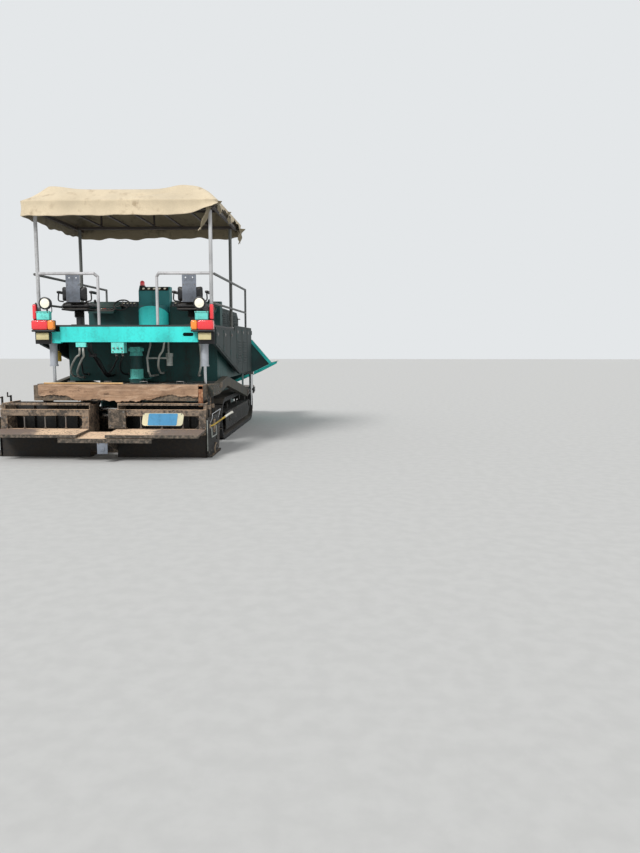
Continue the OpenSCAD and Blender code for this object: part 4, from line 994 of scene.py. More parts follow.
def round_rectangle(half_x, half_y, corner, count):
    """Points spread evenly over a rectangle's outline with round corners, normals and distance."""
    bend = corner * math.pi / 2
    lengths = [2 * (half_y - corner), bend, 2 * (half_x - corner), bend] * 2
    starts = np.concatenate([[0], np.cumsum(lengths)])
    s = (np.arange(count) + 0.5) / count * starts[-1]
    part = np.searchsorted(starts, s, side="right") - 1
    local = s - starts[part]
    quarter = part // 2
    turn = quarter * math.pi / 2
    along = np.where(quarter % 2 == 0, half_y, half_x) - corner
    out = np.where(quarter % 2 == 0, half_x, half_y)
    bend = np.where(part % 2 == 1, local / corner, 0.0)
    x = np.where(part % 2 == 0, out, out - corner + corner * np.cos(bend))
    y = np.where(part % 2 == 0, local - along, along + corner * np.sin(bend))
    c, n = np.cos(turn), np.sin(turn)
    normal = np.stack([np.cos(turn + bend), np.sin(turn + bend)], 1)
    return np.stack([x * c - y * n, x * n + y * c], 1), normal, s


# Torn strips: distance in from the right edge, Y, height above the cloth's lowest point, width,
# fall and lean
TATTERS = [
    (0.13, CANOPY[0][1] + 0.1, 0.19, 0.13, 0.36, (-0.15, 0.02)),
    (0.02, CANOPY[0][1] + 0.1, 0.2, 0.1, 0.15, (0.02, 0.08)),
    (INSET, CANOPY[1][1] - 0.16, 0.14, 0.16, 0.24, (-0.01, -0.05)),
    (INSET, CANOPY[0][1] + 0.9, 0.2, 0.07, 0.16, (0.0, 0.04)),
]


def tatter(inset, rear, above, width, fall, lean):
    """Hanging strip: its width narrows as (1 - 0.94 v^1.6) and it twists on the way down."""
    v, u = np.meshgrid(np.linspace(0, 1, 18), np.linspace(-0.5, 0.5, 7), indexing="ij")
    turn = 0.5 + 1.4 * v + 0.3 * np.sin(v * 7)
    reach = width * (1 - 0.94 * v**1.6) * u
    x = CANOPY[1][0] - inset + lean[0] * v**1.5 + reach * np.cos(turn)
    x = x + 0.012 * np.sin(v * 9 + u * 4)
    y = rear + lean[1] * v + reach * np.sin(turn)
    z = CANOPY[0][2] + above - fall * v + 0.015 * np.cos(u * 9) * v
    flat = np.stack([reach, fall * v], 2).reshape(-1, 2) + [3.0, 0.0]
    return (np.stack([x, y, z], 2).reshape(-1, 3), grid_faces(18, 7).tolist()), flat


class PAVER_OT_canopy(bpy.types.Operator):
    """Weathered canvas over the bows with its hanging edge"""

    bl_idname = "paver.canopy"
    bl_label = "Canopy canvas"

    def execute(self, context):
        s = context.scene.paver.canopy
        low, high = CANOPY
        middle = (low + high) / 2
        half = (high - low) / 2
        edge, normal, run = round_rectangle(half[0] - INSET, half[1] - INSET, 0.06, ROUND)
        eave_z = low[2] + EAVE_DROP
        rise = high[2] - 0.006 - eave_z

        # Lower edge: scallops, a curl at the right of the rear, and the torn right side
        x, y = edge.T
        rear, right = np.clip(-normal[:, 1], 0, 1), np.clip(normal[:, 0], 0, 1)
        wave = np.sin(run * 9.1 + 1.3) + 0.6 * np.sin(run * 21.0) + 0.4 * np.sin(run * 3.7 + 2.0)
        ripple = np.sin(run * 14.0 + 0.5) + 0.5 * np.sin(run * 33.0 + 1.0)
        hem = low[2] + 0.008 + s.scallop * wave * (0.2 + 0.4 * (1 - rear))
        hem = hem + rear * s.curl * ramp(x, 0.78, half[0]) ** 1.2
        hem = hem - 0.02 * rear * ramp(-x, 1.2, half[0])
        rags = (0.5 + 0.5 * np.sin(y * 7.3 + 0.8)) ** 3 * (0.6 + 0.4 * np.sin(y * 31.0))
        torn = eave_z - 0.018 - 0.11 * rags - 0.02 * np.abs(np.sin(y * 17.0))
        share = right * (1 - ramp(y, half[1] - 0.3, half[1] - 0.12))
        hem = hem * (1 - share) + np.maximum(hem, torn) * share

        # Hanging part from the lower edge up to the eave
        points, flat = [], []
        for h in np.linspace(1.0, 0.0, 14):
            z = eave_z + (hem - eave_z) * h
            out = s.flute * ripple * h**1.3 * 0.45 - 0.010 * np.sin(math.pi * h)
            points.append(np.column_stack([edge + normal * out[:, None], z]))
            flat.append(edge + normal * ((eave_z - hem) * h)[:, None])

        # Slopes for t from 0 to 1, then the top, drawn in to its middle
        for t in np.concatenate([np.linspace(0.0, 1.0, 14)[1:], 1 + np.linspace(0, 1, 24)[1:-1]]):
            hip = min(t, 1.0)
            line = edge * (1 - hip * (HIP_IN - 0.02) / half[:2]) * (1 - max(0.0, t - 1.0))
            x, y = line.T
            z = eave_z + rise * (1 - (1 - hip) ** 1.35)
            z = z - s.sag * 0.5 * np.sin(math.pi * hip * 0.95) * (0.6 + 0.4 * np.sin(run * 3.1))
            z = z + s.pull * np.sin(run * 6.0 + 0.7) * math.sin(math.pi * hip)
            dish = np.clip(1 - (x / 1.0) ** 2, 0, 1) * np.clip(1 - (y / 0.72) ** 2, 0, 1)
            near = np.exp(-(((y + half[1] * 0.66) / 0.5) ** 2)) * hip**1.5
            puff = np.exp(-(((x + 0.98) / 0.27) ** 2)) + 1.15 * np.exp(-(((x - 0.84) / 0.23) ** 2))
            z = z - s.sag * dish + s.puff * puff * near
            crease = np.exp(-((((y + half[1] - 0.1) - 0.24 * (x - 0.2)) / 0.03) ** 2))
            z = z - 0.016 * crease * ramp(x, 0.1, 0.3) * (1 - ramp(x, 0.8, 1.0))
            z = z + 0.006 * np.sin(x * 11 + 5 * np.sin(y * 3)) * np.sin(y * 9 + 1) * hip
            points.append(np.column_stack([line, z]))
            flat.append(line)
        centre = points[-1].mean(0)
        rows = len(points)
        skin = grid_faces(rows, ROUND, wrap_columns=True)
        v = np.vstack([*points, centre[None]]) + [middle[0], middle[1], 0]
        k = np.arange(ROUND)
        last = (rows - 1) * ROUND
        fan = np.stack([last + k, last + (k + 1) % ROUND, np.full(ROUND, rows * ROUND)], 1)
        strips, lying = zip(*(tatter(*row) for row in TATTERS))
        forms = Forms()
        forms.add("canvas", (v, [*skin.tolist(), *fan.tolist()]), *strips)
        uv = np.vstack([*flat, centre[None, :2], *lying])
        cloth_piece = piece("canopy_canvas", forms, "tractor", 70.0, uv)
        cloth_piece.data.materials.append(FINISHES["canvas_inside"])
        thick = thicken(cloth_piece, s.cloth)
        thick.material_offset = 1
        thick.material_offset_rim = 0
        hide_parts("canopy")
        return {"FINISHED"}


# Seats

PRESSURE = 4.0
SWELL_FRAMES = 20


def holed_plate(low, high, hole, y0, y1, turns=32):
    """Upright plate from (x, z) corner low to high with a round hole in its middle.

    Ray r(a) = (cos a, sin a) meets the rectangle at the nearer of half / |r|."""
    low, high = np.array(low), np.array(high)
    middle, half = (low + high) / 2, (high - low) / 2
    r = ring(turns)
    reach = np.min(half / np.maximum(np.abs(r), 1e-6), axis=1)
    outer, inner = middle + r * reach[:, None], middle + r * hole
    rows = [
        np.column_stack([line[:, 0], np.full(turns, y), line[:, 1]])
        for line, y in ((outer, y0), (inner, y0), (inner, y1), (outer, y1))
    ]
    return np.vstack(rows), grid_faces(4, turns, True, True).tolist()


def block(x, half, low, high, rounding, turns=4):
    """Round-edged box of half this width on each side of x, between two (y, z) corners."""
    return pillow((x - half, *low), (x + half, *high), rounding, turns)


def swelled(pad, voxel, cap):
    """Swells a closed mesh by cloth under inner pressure, each point moved by cap at most."""
    scene = bpy.context.scene
    bpy.context.view_layer.objects.active = pad
    remesh = pad.modifiers.new("remesh", "REMESH")
    remesh.mode = "VOXEL"
    remesh.voxel_size = voxel
    bpy.ops.object.modifier_apply(modifier="remesh")
    start = np.empty(len(pad.data.vertices) * 3)
    pad.data.vertices.foreach_get("co", start)
    soft = pad.modifiers.new("cloth", "CLOTH")
    soft.settings.use_pressure = True
    soft.settings.uniform_pressure_force = PRESSURE
    soft.settings.effector_weights.gravity = 0.0
    for number in range(1, SWELL_FRAMES + 1):
        scene.frame_set(number)
    moved = pad.evaluated_get(bpy.context.evaluated_depsgraph_get()).to_mesh()
    end = np.empty_like(start)
    moved.vertices.foreach_get("co", end)
    pad.modifiers.remove(soft)
    scene.frame_set(1)
    step = (end - start).reshape(-1, 3)
    length = np.linalg.norm(step, axis=1)[:, None]
    step *= np.minimum(1.0, cap / np.maximum(length, 1e-9))
    pad.data.vertices.foreach_set("co", (start.reshape(-1, 3) + step).ravel())
    pad.data.update()
    pad.data.shade_smooth()
    finer = pad.modifiers.new("finer", "SUBSURF")
    finer.levels = finer.render_levels = 1


class PAVER_OT_seats(bpy.types.Operator):
    """Seats with swelled cushions, arm rests and a grey back plate with two holes"""

    bl_idname = "paver.seats"
    bl_label = "Seats"

    def execute(self, context):
        s = context.scene.paver.seats
        for side, _ in SIDES:
            low, high = box(f"seat_{side}")
            x = (low[0] + high[0]) / 2
            rear, front, foot = low[1], high[1], low[2]
            pan, back = foot + 0.11, rear + 0.010
            pleats = [(0.008 + 0.0075 * k, 0.074 if k % 2 else 0.060) for k in range(13)]
            bellows = turned([(0, 0.062), *pleats], (x, rear + 0.215, foot), UP, 32)
            base = block(x, 0.19, (rear + 0.03, pan - 0.012), (front - 0.02, pan + 0.012), 0.01)
            bar = block(x, 0.085, (rear + 0.012, foot + 0.2), (rear + 0.05, foot + 0.24), 0.006)
            forms = Forms()
            forms.add("black_plastic", bellows)
            forms.add("black_paint", base)
            for x0, x1 in ((x - 0.1, x), (x, x + 0.1)):
                holed = holed_plate((x0, foot + 0.5), (x1, foot + 0.6), 0.011, rear, back)
                forms.add("plate_grey", holed)
            forms.add("plate_grey", block(x, 0.1, (rear, foot + 0.21), (back, foot + 0.5), 0.002))
            forms.add("black_paint", bar)
            for turn in (-1, 1):
                arm = x + turn * 0.235
                stay = [
                    (x + turn * 0.16, rear + 0.05, foot + 0.22),
                    (arm, rear + 0.06, foot + 0.24),
                    (arm, rear + 0.07, foot + 0.34),
                ]
                low, high = (rear + 0.05, foot + 0.335), (rear + 0.31, foot + 0.372)
                forms.add("black_paint", tube(smooth_path(stay, 12), 0.010))
                forms.add("seat_black", block(arm, 0.026, low, high, 0.014))
                for z in (foot + 0.235, foot + 0.45):
                    forms.add("worn_steel", bolt((x + turn * 0.08, rear, z), BACK, 0.007, 0.006))
            shell = piece(f"seat_shell_{side}", forms, f"seat_{side}")
            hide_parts(f"seat_{side}")
            for name, half, a, b in (
                ("cushion", 0.205, (rear + 0.055, pan + 0.014), (front - 0.02, pan + 0.088)),
                ("back", 0.185, (rear + 0.035, pan + 0.115), (rear + 0.1, foot + 0.43)),
            ):
                stuffing = [("seat_black", block(x, half, a, b, 0.03, 5))]
                pad = piece(f"seat_{name}_{side}", stuffing, f"seat_{side}")
                swelled(pad, s.voxel, s.cap)
            line, _, _ = round_rectangle(0.213, 0.2, 0.05, 72)
            line = line + [x, (rear + front) / 2 + 0.018]
            seam = np.column_stack([line, np.full(72, pan + 0.05)])
            piping = [("seat_black", loop_tube(seam, s.piping))]
            piece(f"seat_piping_{side}", piping, f"seat_{side}")
        return {"FINISHED"}


# Worn cover over the screed's rear edge


class PAVER_OT_mat(bpy.types.Operator):
    """Stiff dirty cover folded over the deck's rear edge, its lower edge waving"""

    bl_idname = "paver.mat"
    bl_label = "Screed cover"

    def execute(self, context):
        s = context.scene.paver.mat
        low, high = box("screed_mat")
        top, bend = high[2] - 0.004, 0.014
        quarter = bend * math.pi / 2
        lying, hanging = high[1] - low[1] - 0.016, high[2] - low[2] - 0.012
        across, along = 300, 64

        # Length at each x: flat part, bend and fall, less at both ends, with waves and rags
        x = np.linspace(low[0], high[0], across)
        wave = np.sin(x * 5.3 + 0.4) + 0.6 * np.sin(x * 12.7 + 2.0) + 0.35 * np.sin(x * 31.0 + 0.7)
        fall = hanging - 0.012 - 0.085 * ramp(-x, 0.5, 0.85) - 0.055 * ramp(x, 0.2, 0.6)
        rag = np.abs(np.sin(x * 17.0 + 2 * np.sin(x * 5.0))) ** 3
        rag = rag + 0.5 * np.abs(np.sin(x * 61.0 + 1.0))
        length = lying + quarter + fall + s.wave * ((wave - 1.2) * 0.6 - 0.7 * rag)

        # Along its length the cover lies flat, turns down by a quarter circle and hangs, while
        # folds grow with the fall and a ripple runs over the flat part
        run = np.linspace(0, 1, along)[:, None] * length[None, :]
        past = np.clip(run - lying, 0, quarter) / bend
        down = np.clip(run - lying - quarter, 0, None)
        y = high[1] - np.minimum(run, lying) - bend * np.sin(past)
        z = top - bend * (1 - np.cos(past)) - down
        share = down / hanging
        fold = np.sin(x * 23.0 + 1.0) + 0.7 * np.sin(x * 47.0 + 0.3 * wave) + 0.5 * np.sin(x * 8.0)
        slump = np.sin(x * 9.0 + run * 14.0) * np.sin(x * 3.0 - run * 7.0 + 1.0)
        bulge = share * (fold[None, :] * 0.5 + 0.5) + 0.6 * slump * np.minimum(share * 3, 1)
        y = y - s.fold * bulge
        ripple = 0.004 * np.sin(run * 60 + x[None] * 9.0)
        z = z + ripple * np.where(down > 0, 0, 1) * np.minimum(run * 20, 1)
        wide = np.broadcast_to(x[None, :], y.shape)
        points = np.stack([wide, y, z], 2).reshape(-1, 3)
        sheet = [("mat", (points, grid_faces(along, across)[:, ::-1].tolist()))]
        flat = np.stack([wide, run], 2).reshape(-1, 2)
        cover = piece("screed_cover", sheet, "screed", 60.0, flat)
        thicken(cover, 0.006)
        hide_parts("screed_mat")
        rod_y, rod_z = high[1] - 0.05, top + 0.016
        pole = tube([(low[0] + 0.05, rod_y, rod_z), (0.05, rod_y - 0.01, rod_z)], 0.011)
        piece("cover_rod", [("pole_paint", pole)], "screed")
        return {"FINISHED"}


# Hoses: radius, finish and route in millimetres

HOSES = [
    (14, "pale_hose", [
        (-650, 40, 1458), (-650, 40, 1410), (-690, 130, 1350), (-790, 270, 1315),
        (-890, 380, 1220), (-960, 480, 1110), (-985, 640, 1035), (-985, 780, 1020),
        (-985, 850, 1020),
    ]),
    (14, "pale_hose", [
        (-600, 40, 1458), (-600, 40, 1400), (-630, 130, 1330), (-710, 280, 1290),
        (-800, 390, 1190), (-870, 500, 1090), (-900, 650, 1020), (-900, 780, 1005),
        (-900, 850, 1005),
    ]),
    (12, "hose_rubber", [
        (-815, 470, 1735), (-815, 470, 1600), (-810, 470, 1400), (-800, 480, 1250),
        (-800, 520, 1140), (-825, 610, 1070), (-830, 740, 1050), (-830, 850, 1050),
    ]),
    (12, "hose_rubber", [
        (-150, 80, 1375), (-150, 80, 1350), (-165, 180, 1310), (-230, 330, 1270),
        (-330, 450, 1150), (-450, 600, 1060), (-500, 740, 1040), (-500, 850, 1040),
    ]),
    (12, "hose_rubber", [
        (-60, 80, 1375), (-60, 80, 1350), (-90, 180, 1310), (-160, 330, 1270),
        (-220, 440, 1160), (-230, 600, 1075), (-220, 740, 1055), (-220, 850, 1055),
    ]),
    (14, "pale_hose", [
        (965, 370, 1560), (965, 370, 1480), (970, 380, 1300), (955, 420, 1160), (905, 540, 1065),
        (860, 740, 1035), (860, 850, 1035),
    ]),
    (14, "pale_hose", [
        (480, 290, 1735), (480, 290, 1600), (450, 295, 1420), (395, 300, 1330), (350, 400, 1190),
        (320, 600, 1090), (310, 740, 1070), (310, 850, 1070),
    ]),
]


class PAVER_OT_hoses(bpy.types.Operator):
    """Hoses at the rear with crimped sleeves and nuts at both ends"""

    bl_idname = "paver.hoses"
    bl_label = "Hoses"

    def execute(self, context):
        forms = Forms()
        for radius, look, route in HOSES:
            r = radius / 1000
            crimp = [
                (0, r + 0.006), (0.014, r + 0.006), (0.014, r + 0.003), (0.03, r + 0.004),
                (0.045, r + 0.002), (0.047, r),
            ]
            forms.add(look, rod(route, radius, 72, 14))
            ends = ((route[0], -UP), (route[-1], BACK))
            forms.add("worn_steel", *(turned(crimp, mm(*place), axis, 12) for place, axis in ends))
        made = piece("hose_set", forms, "tractor", 60.0)
        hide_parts("hoses")
        return {"FINISHED"}


# Lamps


class PAVER_OT_lamps(bpy.types.Operator):
    """Tail lamps, boxes and work lamps on both corners, and the beacon on the tower"""

    bl_idname = "paver.lamps"
    bl_label = "Lamps"

    def execute(self, context):
        floor, z = 1000 * FLOOR_X, 1000 * FLOOR_Z
        inner, outer, beam = floor - 295, floor + 15, 1000 * BEAM[1][0]
        lamp = mm(floor - 175, -70, z + 290)
        side = Forms()
        for look, x0, x1, d0, d1, z0, z1, rounding in (
            ("black_plastic", beam + 15, outer - 5, -12, 0, -260, 190, 4),
            ("black_plastic", inner, outer, -112, -12, -95, -70, 6),
            ("black_plastic", inner + 4, outer - 4, -100, -12, -70, 62, 10),
            ("amber_lens", inner, inner + 86, -120, -40, -66, 60, 18),
            ("red_lens", inner + 90, outer, -120, -40, -66, 60, 18),
            ("black_plastic", outer - 60, outer - 2, -50, -12, 66, 283, 10),
            ("red_lens", outer - 56, outer - 6, -75, -30, 72, 277, 16),
            ("mint_paint", inner + 60, outer - 75, -108, -12, 66, 165, 8),
            ("mint_paint", inner + 55, outer - 70, -113, -12, 160, 180, 6),
            ("black_plastic", inner + 85, outer - 35, -62, -12, -210, -100, 6),
            ("cream_board", inner + 92, outer - 42, -70, -40, -203, -107, 6),
        ):
            low, high = mm(x0, d0, z + z0), mm(x1, d1, z + z1)
            side.add(look, pillow(low, high, rounding / 1000))
        bowl = [(0.0, 0.08), (0.03, 0.082), (0.06, 0.07), (0.085, 0.045), (0.092, 0.02)]
        rim = [(-0.004, 0.074), (0.004, 0.085), (0.016, 0.086), (0.02, 0.08)]
        glass = [(0.008, 0.076), (0.018, 0.07), (0.026, 0.045), (0.03, 0.002)]
        cable = [
            (0, 0.09, 0), (-0.03, 0.12, -0.03), (-0.05, 0.09, -0.1), (-0.045, 0.062, -0.13),
        ]
        foot = [(0, 0.048), (0.016, 0.048), (0.022, 0.04)]
        dome = [(0.02, 0.036), (0.07, 0.036), (0.09, 0.028), (0.1, 0.01)]
        side.add("black_plastic", turned(bowl, lamp, -BACK, 32), turned(rim, lamp, BACK, 32))
        side.add("clear_lens", turned(glass, lamp, BACK, 32))
        side.add("black_plastic", tube(lamp + [(0, 0.05, -0.07), (0, 0.056, -0.105)], 0.012))
        side.add("black_plastic", tube(smooth_path(lamp + cable, 16), 0.006))
        for x in (inner + 12, outer - 12, inner + 100):
            for above in (-52, 46):
                side.add("worn_steel", bolt(mm(x, -120, z + above), BACK, 0.0045, 0.004))
        for x in (inner + 75, outer - 90):
            side.add("worn_steel", bolt(mm(x, -113, z + 170), BACK, 0.006, 0.005))
        forms = side.on_both()
        spot = (-0.2, at(1.63), box("consoles")[1][2])
        forms.add("black_plastic", turned(foot, spot, UP, 24))
        forms.add("red_lens", turned(dome, spot, UP, 24))
        made = piece("lamp_set", forms, "tractor")
        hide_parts("lamp_clusters")
        return {"FINISHED"}


# Fittings. Places and radii are millimetres, the profiles of turned shapes are metres


def louvre(x, d0, d1, z, rise, out):
    """Pressed lip: out * sin(a) from the face while it falls by rise, closing at both ends."""
    u = np.linspace(0, 1, 16)[:, None]
    close = np.sqrt(1 - np.abs(2 * u - 1) ** 10)
    a = np.linspace(0, 1, 6)
    reach = np.concatenate([[-1.0], out * np.sin(a * math.pi / 2), [-1.0]])[None, :]
    height = np.concatenate([[rise], rise * (1 - a), [0.0]])[None, :]
    px = x + np.where(reach > 0, reach * close, reach)
    points = np.stack(np.broadcast_arrays(px, d0 + (d1 - d0) * u, z + height), 2) / 1000
    return capped(points + [0, REAR, 0])


# Side panels: their doors from rear to front, the slope of the lower edge and its lowest height
DOORS = 6
DOORS_START, DOORS_END = 110, 3760
EDGE_REAR, EDGE_LOW, EDGE_RUN = 1490, 1000, 2190


def panel_top(d):
    """Height of a door's upper edge, which steps up where the hood begins."""
    return 1703 if d < 1740 else 1765


def panel_edge(d):
    """Height of the side panel's lower edge: a straight slope down to its knee."""
    return max(EDGE_LOW, EDGE_REAR - (d - DOORS_START) * (EDGE_REAR - EDGE_LOW) / EDGE_RUN)


class PAVER_OT_panels(bpy.types.Operator):
    """Handles, hinges, louvres and bolts of the side panels"""

    bl_idname = "paver.panels"
    bl_label = "Side panel fittings"

    def execute(self, context):
        face = 1000 * box("side_panel_right")[1][0]
        step = (DOORS_END - DOORS_START) / DOORS
        forms = Forms()
        for i in range(DOORS):
            d = DOORS_START + step * i
            top = panel_top(d)
            tray = slab((face - 2, d + 60, top - 95), (face + 3, d + 190, top - 42), 9)
            grip = slab((face + 2, d + 76, top - 76), (face + 12, d + 150, top - 60), 5)
            lock = [(0, 0.011), (0.004, 0.011), (0.006, 0.008)]
            forms.add("black_plastic", tray)
            forms.add("worn_steel", grip, turned(lock, mm(face + 2, d + 170, top - 68), RIGHT, 16))
            hinge, low = d + step - 3, panel_edge(d + step)
            for z in (top - 60, max(low + 70, (low + top) / 2 - 90)):
                leaf = slab((face - 3, hinge - 42, z - 26), (face + 3, hinge - 8, z + 26), 2)
                forms.add("deep_teal", rod([(face + 1, hinge, z + h) for h in (-38, 38)], 8))
                forms.add("panel_green", leaf)
                forms.screw([(face + 3, hinge - 25, z + h) for h in (-13, 13)], RIGHT, 5)
        for door in (3, 4):
            d = DOORS_START + door * step + 90
            lips = [louvre(face, d, d + 420, 1180 + 44 * k, 28, 15) for k in range(9)]
            forms.add("panel_green", *lips)
        row = np.arange(150, 3740, 290)
        upper = [(face - 5, d, panel_top(d) + 15) for d in row]
        lower = [(face - 5, d, panel_edge(d) + 16) for d in row]
        forms.screw(upper + lower, RIGHT, 6)
        for side, sign in SIDES:
            piece(f"panel_fittings_{side}", forms.on_side(sign), "tractor")
        return {"FINISHED"}


class PAVER_OT_hood(bpy.types.Operator):
    """Louvres, handles, rubber latches, caps and outlet of the engine hood"""

    bl_idname = "paver.hood"
    bl_label = "Hood fittings"

    def execute(self, context):
        face, _, top = 1000 * box("hood")[1]
        side = Forms()
        for d in (1930, 2480, 3030):
            lips = [louvre(face, d, d + 400, 1850 + 30 * k, 20, 12) for k in range(6)]
            side.add("panel_green", *lips)
        for d in (1800, 3560):
            latch = slab((face - 2, d - 14, 1800), (face + 11, d + 14, 1882), 6)
            catch = slab((face - 1, d - 18, 1868), (face + 14, d + 18, 1892), 3)
            handle = [
                (face - 4, d + 60, 1960), (face + 34, d + 62, 1960),
                (face + 34, d + 178, 1960), (face - 4, d + 180, 1960),
            ]
            side.add("black_plastic", latch)
            side.add("worn_steel", catch)
            side.add("black_paint", rod(handle, 7))
        side.screw([(face, d, 2050) for d in range(1800, 3500, 210)], RIGHT, 6)
        forms = side.on_both()
        eye = [(1890, -8), (1890, 28), (1925, 42), (1960, 28), (1960, -8)]
        for x in (-560, 560):
            forms.add("black_paint", rod([(x, d, top + z) for d, z in eye], 8, 20))
        filler = [(0, 0.062), (0.02, 0.062), (0.024, 0.052), (0.05, 0.052), (0.056, 0.044)]
        forms.add("black_plastic", turned(filler, mm(620, 3200, top - 20), UP, 20))
        x, d = -620, 3150
        stub = [
            (0, 0.075), (0.012, 0.075), (0.014, 0.045), (0.13, 0.045), (0.131, 0.04), (0.1, 0.039),
        ]
        forms.add("rusty_steel", turned(stub, mm(x, d, top - 20), UP, 28))
        quarters = np.arange(4) * 1.571 + 0.78
        spots = [(x + 62 * math.cos(a), d + 62 * math.sin(a), top - 8) for a in quarters]
        forms.screw(spots, UP, 6)
        piece("hood_fittings", forms, "hood")
        return {"FINISHED"}


class Desk:
    """Sloping desk: from its start in millimetres, u runs across and v up the slope in metres."""

    def __init__(self, start, run, rise):
        self.start = mm(*start)
        self.over = np.array([0.0, run, rise]) / math.hypot(run, rise)
        self.up = np.cross(RIGHT, self.over)

    def spot(self, u, v):
        return self.start + np.array([u, 0, 0]) + self.over * v

    def cover(self, u0, u1, v0, v1, depth):
        """Flat plate on the desk."""
        outline = [(u0, v0), (u1, v0), (u1, v1), (u0, v1)]
        return plate(outline, self.spot(0, 0), depth, RIGHT, self.over)

    def gauge(self, u, v, radius):
        """Round instrument: a turned ring about a dished pale dial."""
        r, place = radius / 1000, self.spot(u, v)
        rim = [(0, r), (0.01, r), (0.013, r * 0.93), (0.01, r * 0.86), (0.004, r * 0.86)]
        dial = [(0, r * 0.88), (0.006, r * 0.86), (0.0065, 0.002)]
        # The dial takes the clear lamp glass finish and glows faintly as painted light.
        return [
            ("black_plastic", turned(rim, place, self.up, 28)),
            ("clear_lens", turned(dial, place, self.up, 28)),
        ]

    def knob(self, u, v, radius, height):
        return knob(self.spot(u, v), self.up, radius, height)

    def turned(self, profile, u, v, sides):
        return turned(profile, self.spot(u, v), self.up, sides)


class PAVER_OT_controls(bpy.types.Operator):
    """Levers, buttons, switches and blank gauges on the desks and the tower"""

    bl_idname = "paver.controls"
    bl_label = "Controls"

    def execute(self, context):
        desk = Desk((600, 1380, 2005), 165, 55)
        forms = Forms([("black_plastic", desk.cover(0.012, 0.388, 0.008, 0.165, 0.004))])
        for u in (0.06, 0.115):
            forms += desk.gauge(u, 0.12, 22)
        toggle = [(0.003, 0.006), (0.009, 0.006), (0.01, 0.003), (0.026, 0.0035)]
        for k in range(8):
            forms.add("worn_steel", desk.turned(toggle, 0.045 + 0.022 * k, 0.06, 10))
        # Buttons in lamp glass finishes glow faintly as painted light.
        buttons = ("red_lens", "amber_lens", "clear_lens", "clear_lens", "blue_paint")
        for k, look in enumerate(buttons):
            forms.add(look, desk.knob(0.17 + 0.03 * k, 0.135, 8, 14))
        for k in range(3):
            forms.add("black_plastic", desk.knob(0.235 + 0.05 * k, 0.035, 15, 24))
        stop = (0.35, 0.125)
        forms.add("yellow_paint", desk.turned([(0.003, 0.026), (0.008, 0.026)], *stop, 24))
        forms.add("red_lens", desk.knob(*stop, 19, 34))
        up, over, stick = desk.up, desk.over, desk.spot(0.3, 0.08)
        boot = [
            (0.003, 0.034), (0.012, 0.034), (0.016, 0.026), (0.022, 0.028), (0.027, 0.019),
            (0.033, 0.021), (0.04, 0.012), (0.05, 0.01),
        ]
        grip = [(0.1, 0.012), (0.112, 0.018), (0.135, 0.021), (0.155, 0.017), (0.164, 0.006)]
        forms.add("black_plastic", turned(boot, stick, up, 24))
        forms.add("rod_chrome", tube([stick + up * 0.04, stick + up * 0.11 + over * 0.01], 0.006))
        forms.add("black_plastic", turned(grip, stick, up + over * 0.12, 20))
        bench = Desk((245, 1540, 2080), 100, 90)
        forms.add("plate_grey", bench.cover(0.04, 0.3, 0.015, 0.12, 0.003))
        for k in range(4):
            u = 0.085 + 0.055 * k
            forms += bench.gauge(u, 0.085, 19)
            forms.add("black_plastic", bench.knob(u, 0.038, 9, 14))
        wheel, axle = mm(500, 1500, 2100), bench.up
        hub = [(-0.06, 0.016), (0.0, 0.016), (0.004, 0.03), (0.016, 0.03)]
        forms.add("black_plastic", turned(hub, wheel, axle, 20))

        def on_wheel(radius, c, s):
            return wheel + 0.012 * axle + radius * (c * RIGHT + s * bench.over)

        rim = np.array([on_wheel(0.125, c, s) for c, s in ring(40)])
        forms.add("black_plastic", loop_tube(rim, 0.011))
        for c, s in ring(3, math.pi / 2):
            forms.add("worn_steel", tube([wheel + 0.01 * axle, on_wheel(0.12, c, s)], 0.006))
        both = forms.on_both()
        head = Desk((-245, 1560, 2330), 50, 70)
        both.add("black_plastic", head.cover(0.02, 0.47, 0.008, 0.078, 0.004))
        for k in range(5):
            both += head.gauge(0.075 + 0.085 * k, 0.043, 24)
        piece("controls", both, "tractor")
        return {"FINISHED"}


# Screed and end plates


def outer_shift(kind, side):
    """How much further out the left node of a kind reaches than the right one, 0 on the right."""
    reach = {"left": -box(f"{kind}_left")[0][0], "right": box(f"{kind}_right")[1][0]}
    return reach[side] - reach["right"]


def link(place, turn, length, radius):
    """Chain link: a rod of round section round a long oval, turned about the chain's line."""
    angle = np.arange(24) * math.pi / 12
    side = np.array([math.cos(turn), math.sin(turn), 0.0])
    line = np.array(place) + 0.3 * length * np.cos(angle)[:, None] * side
    line = line + 0.56 * length * np.sin(angle)[:, None] * UP
    return loop_tube(line, radius, 6)


def chain(start, end, pitch=0.026, wire=0.0034):
    """Links in a straight hanging row, each a quarter turn from the last."""
    start, end = mm(*start), mm(*end)
    count = int(np.linalg.norm(end - start) / pitch)
    return joined([
        link(start + (end - start) * (k + 0.5) / count, (k % 2) * math.pi / 2 + 0.5, pitch, wire)
        for k in range(count)
    ])


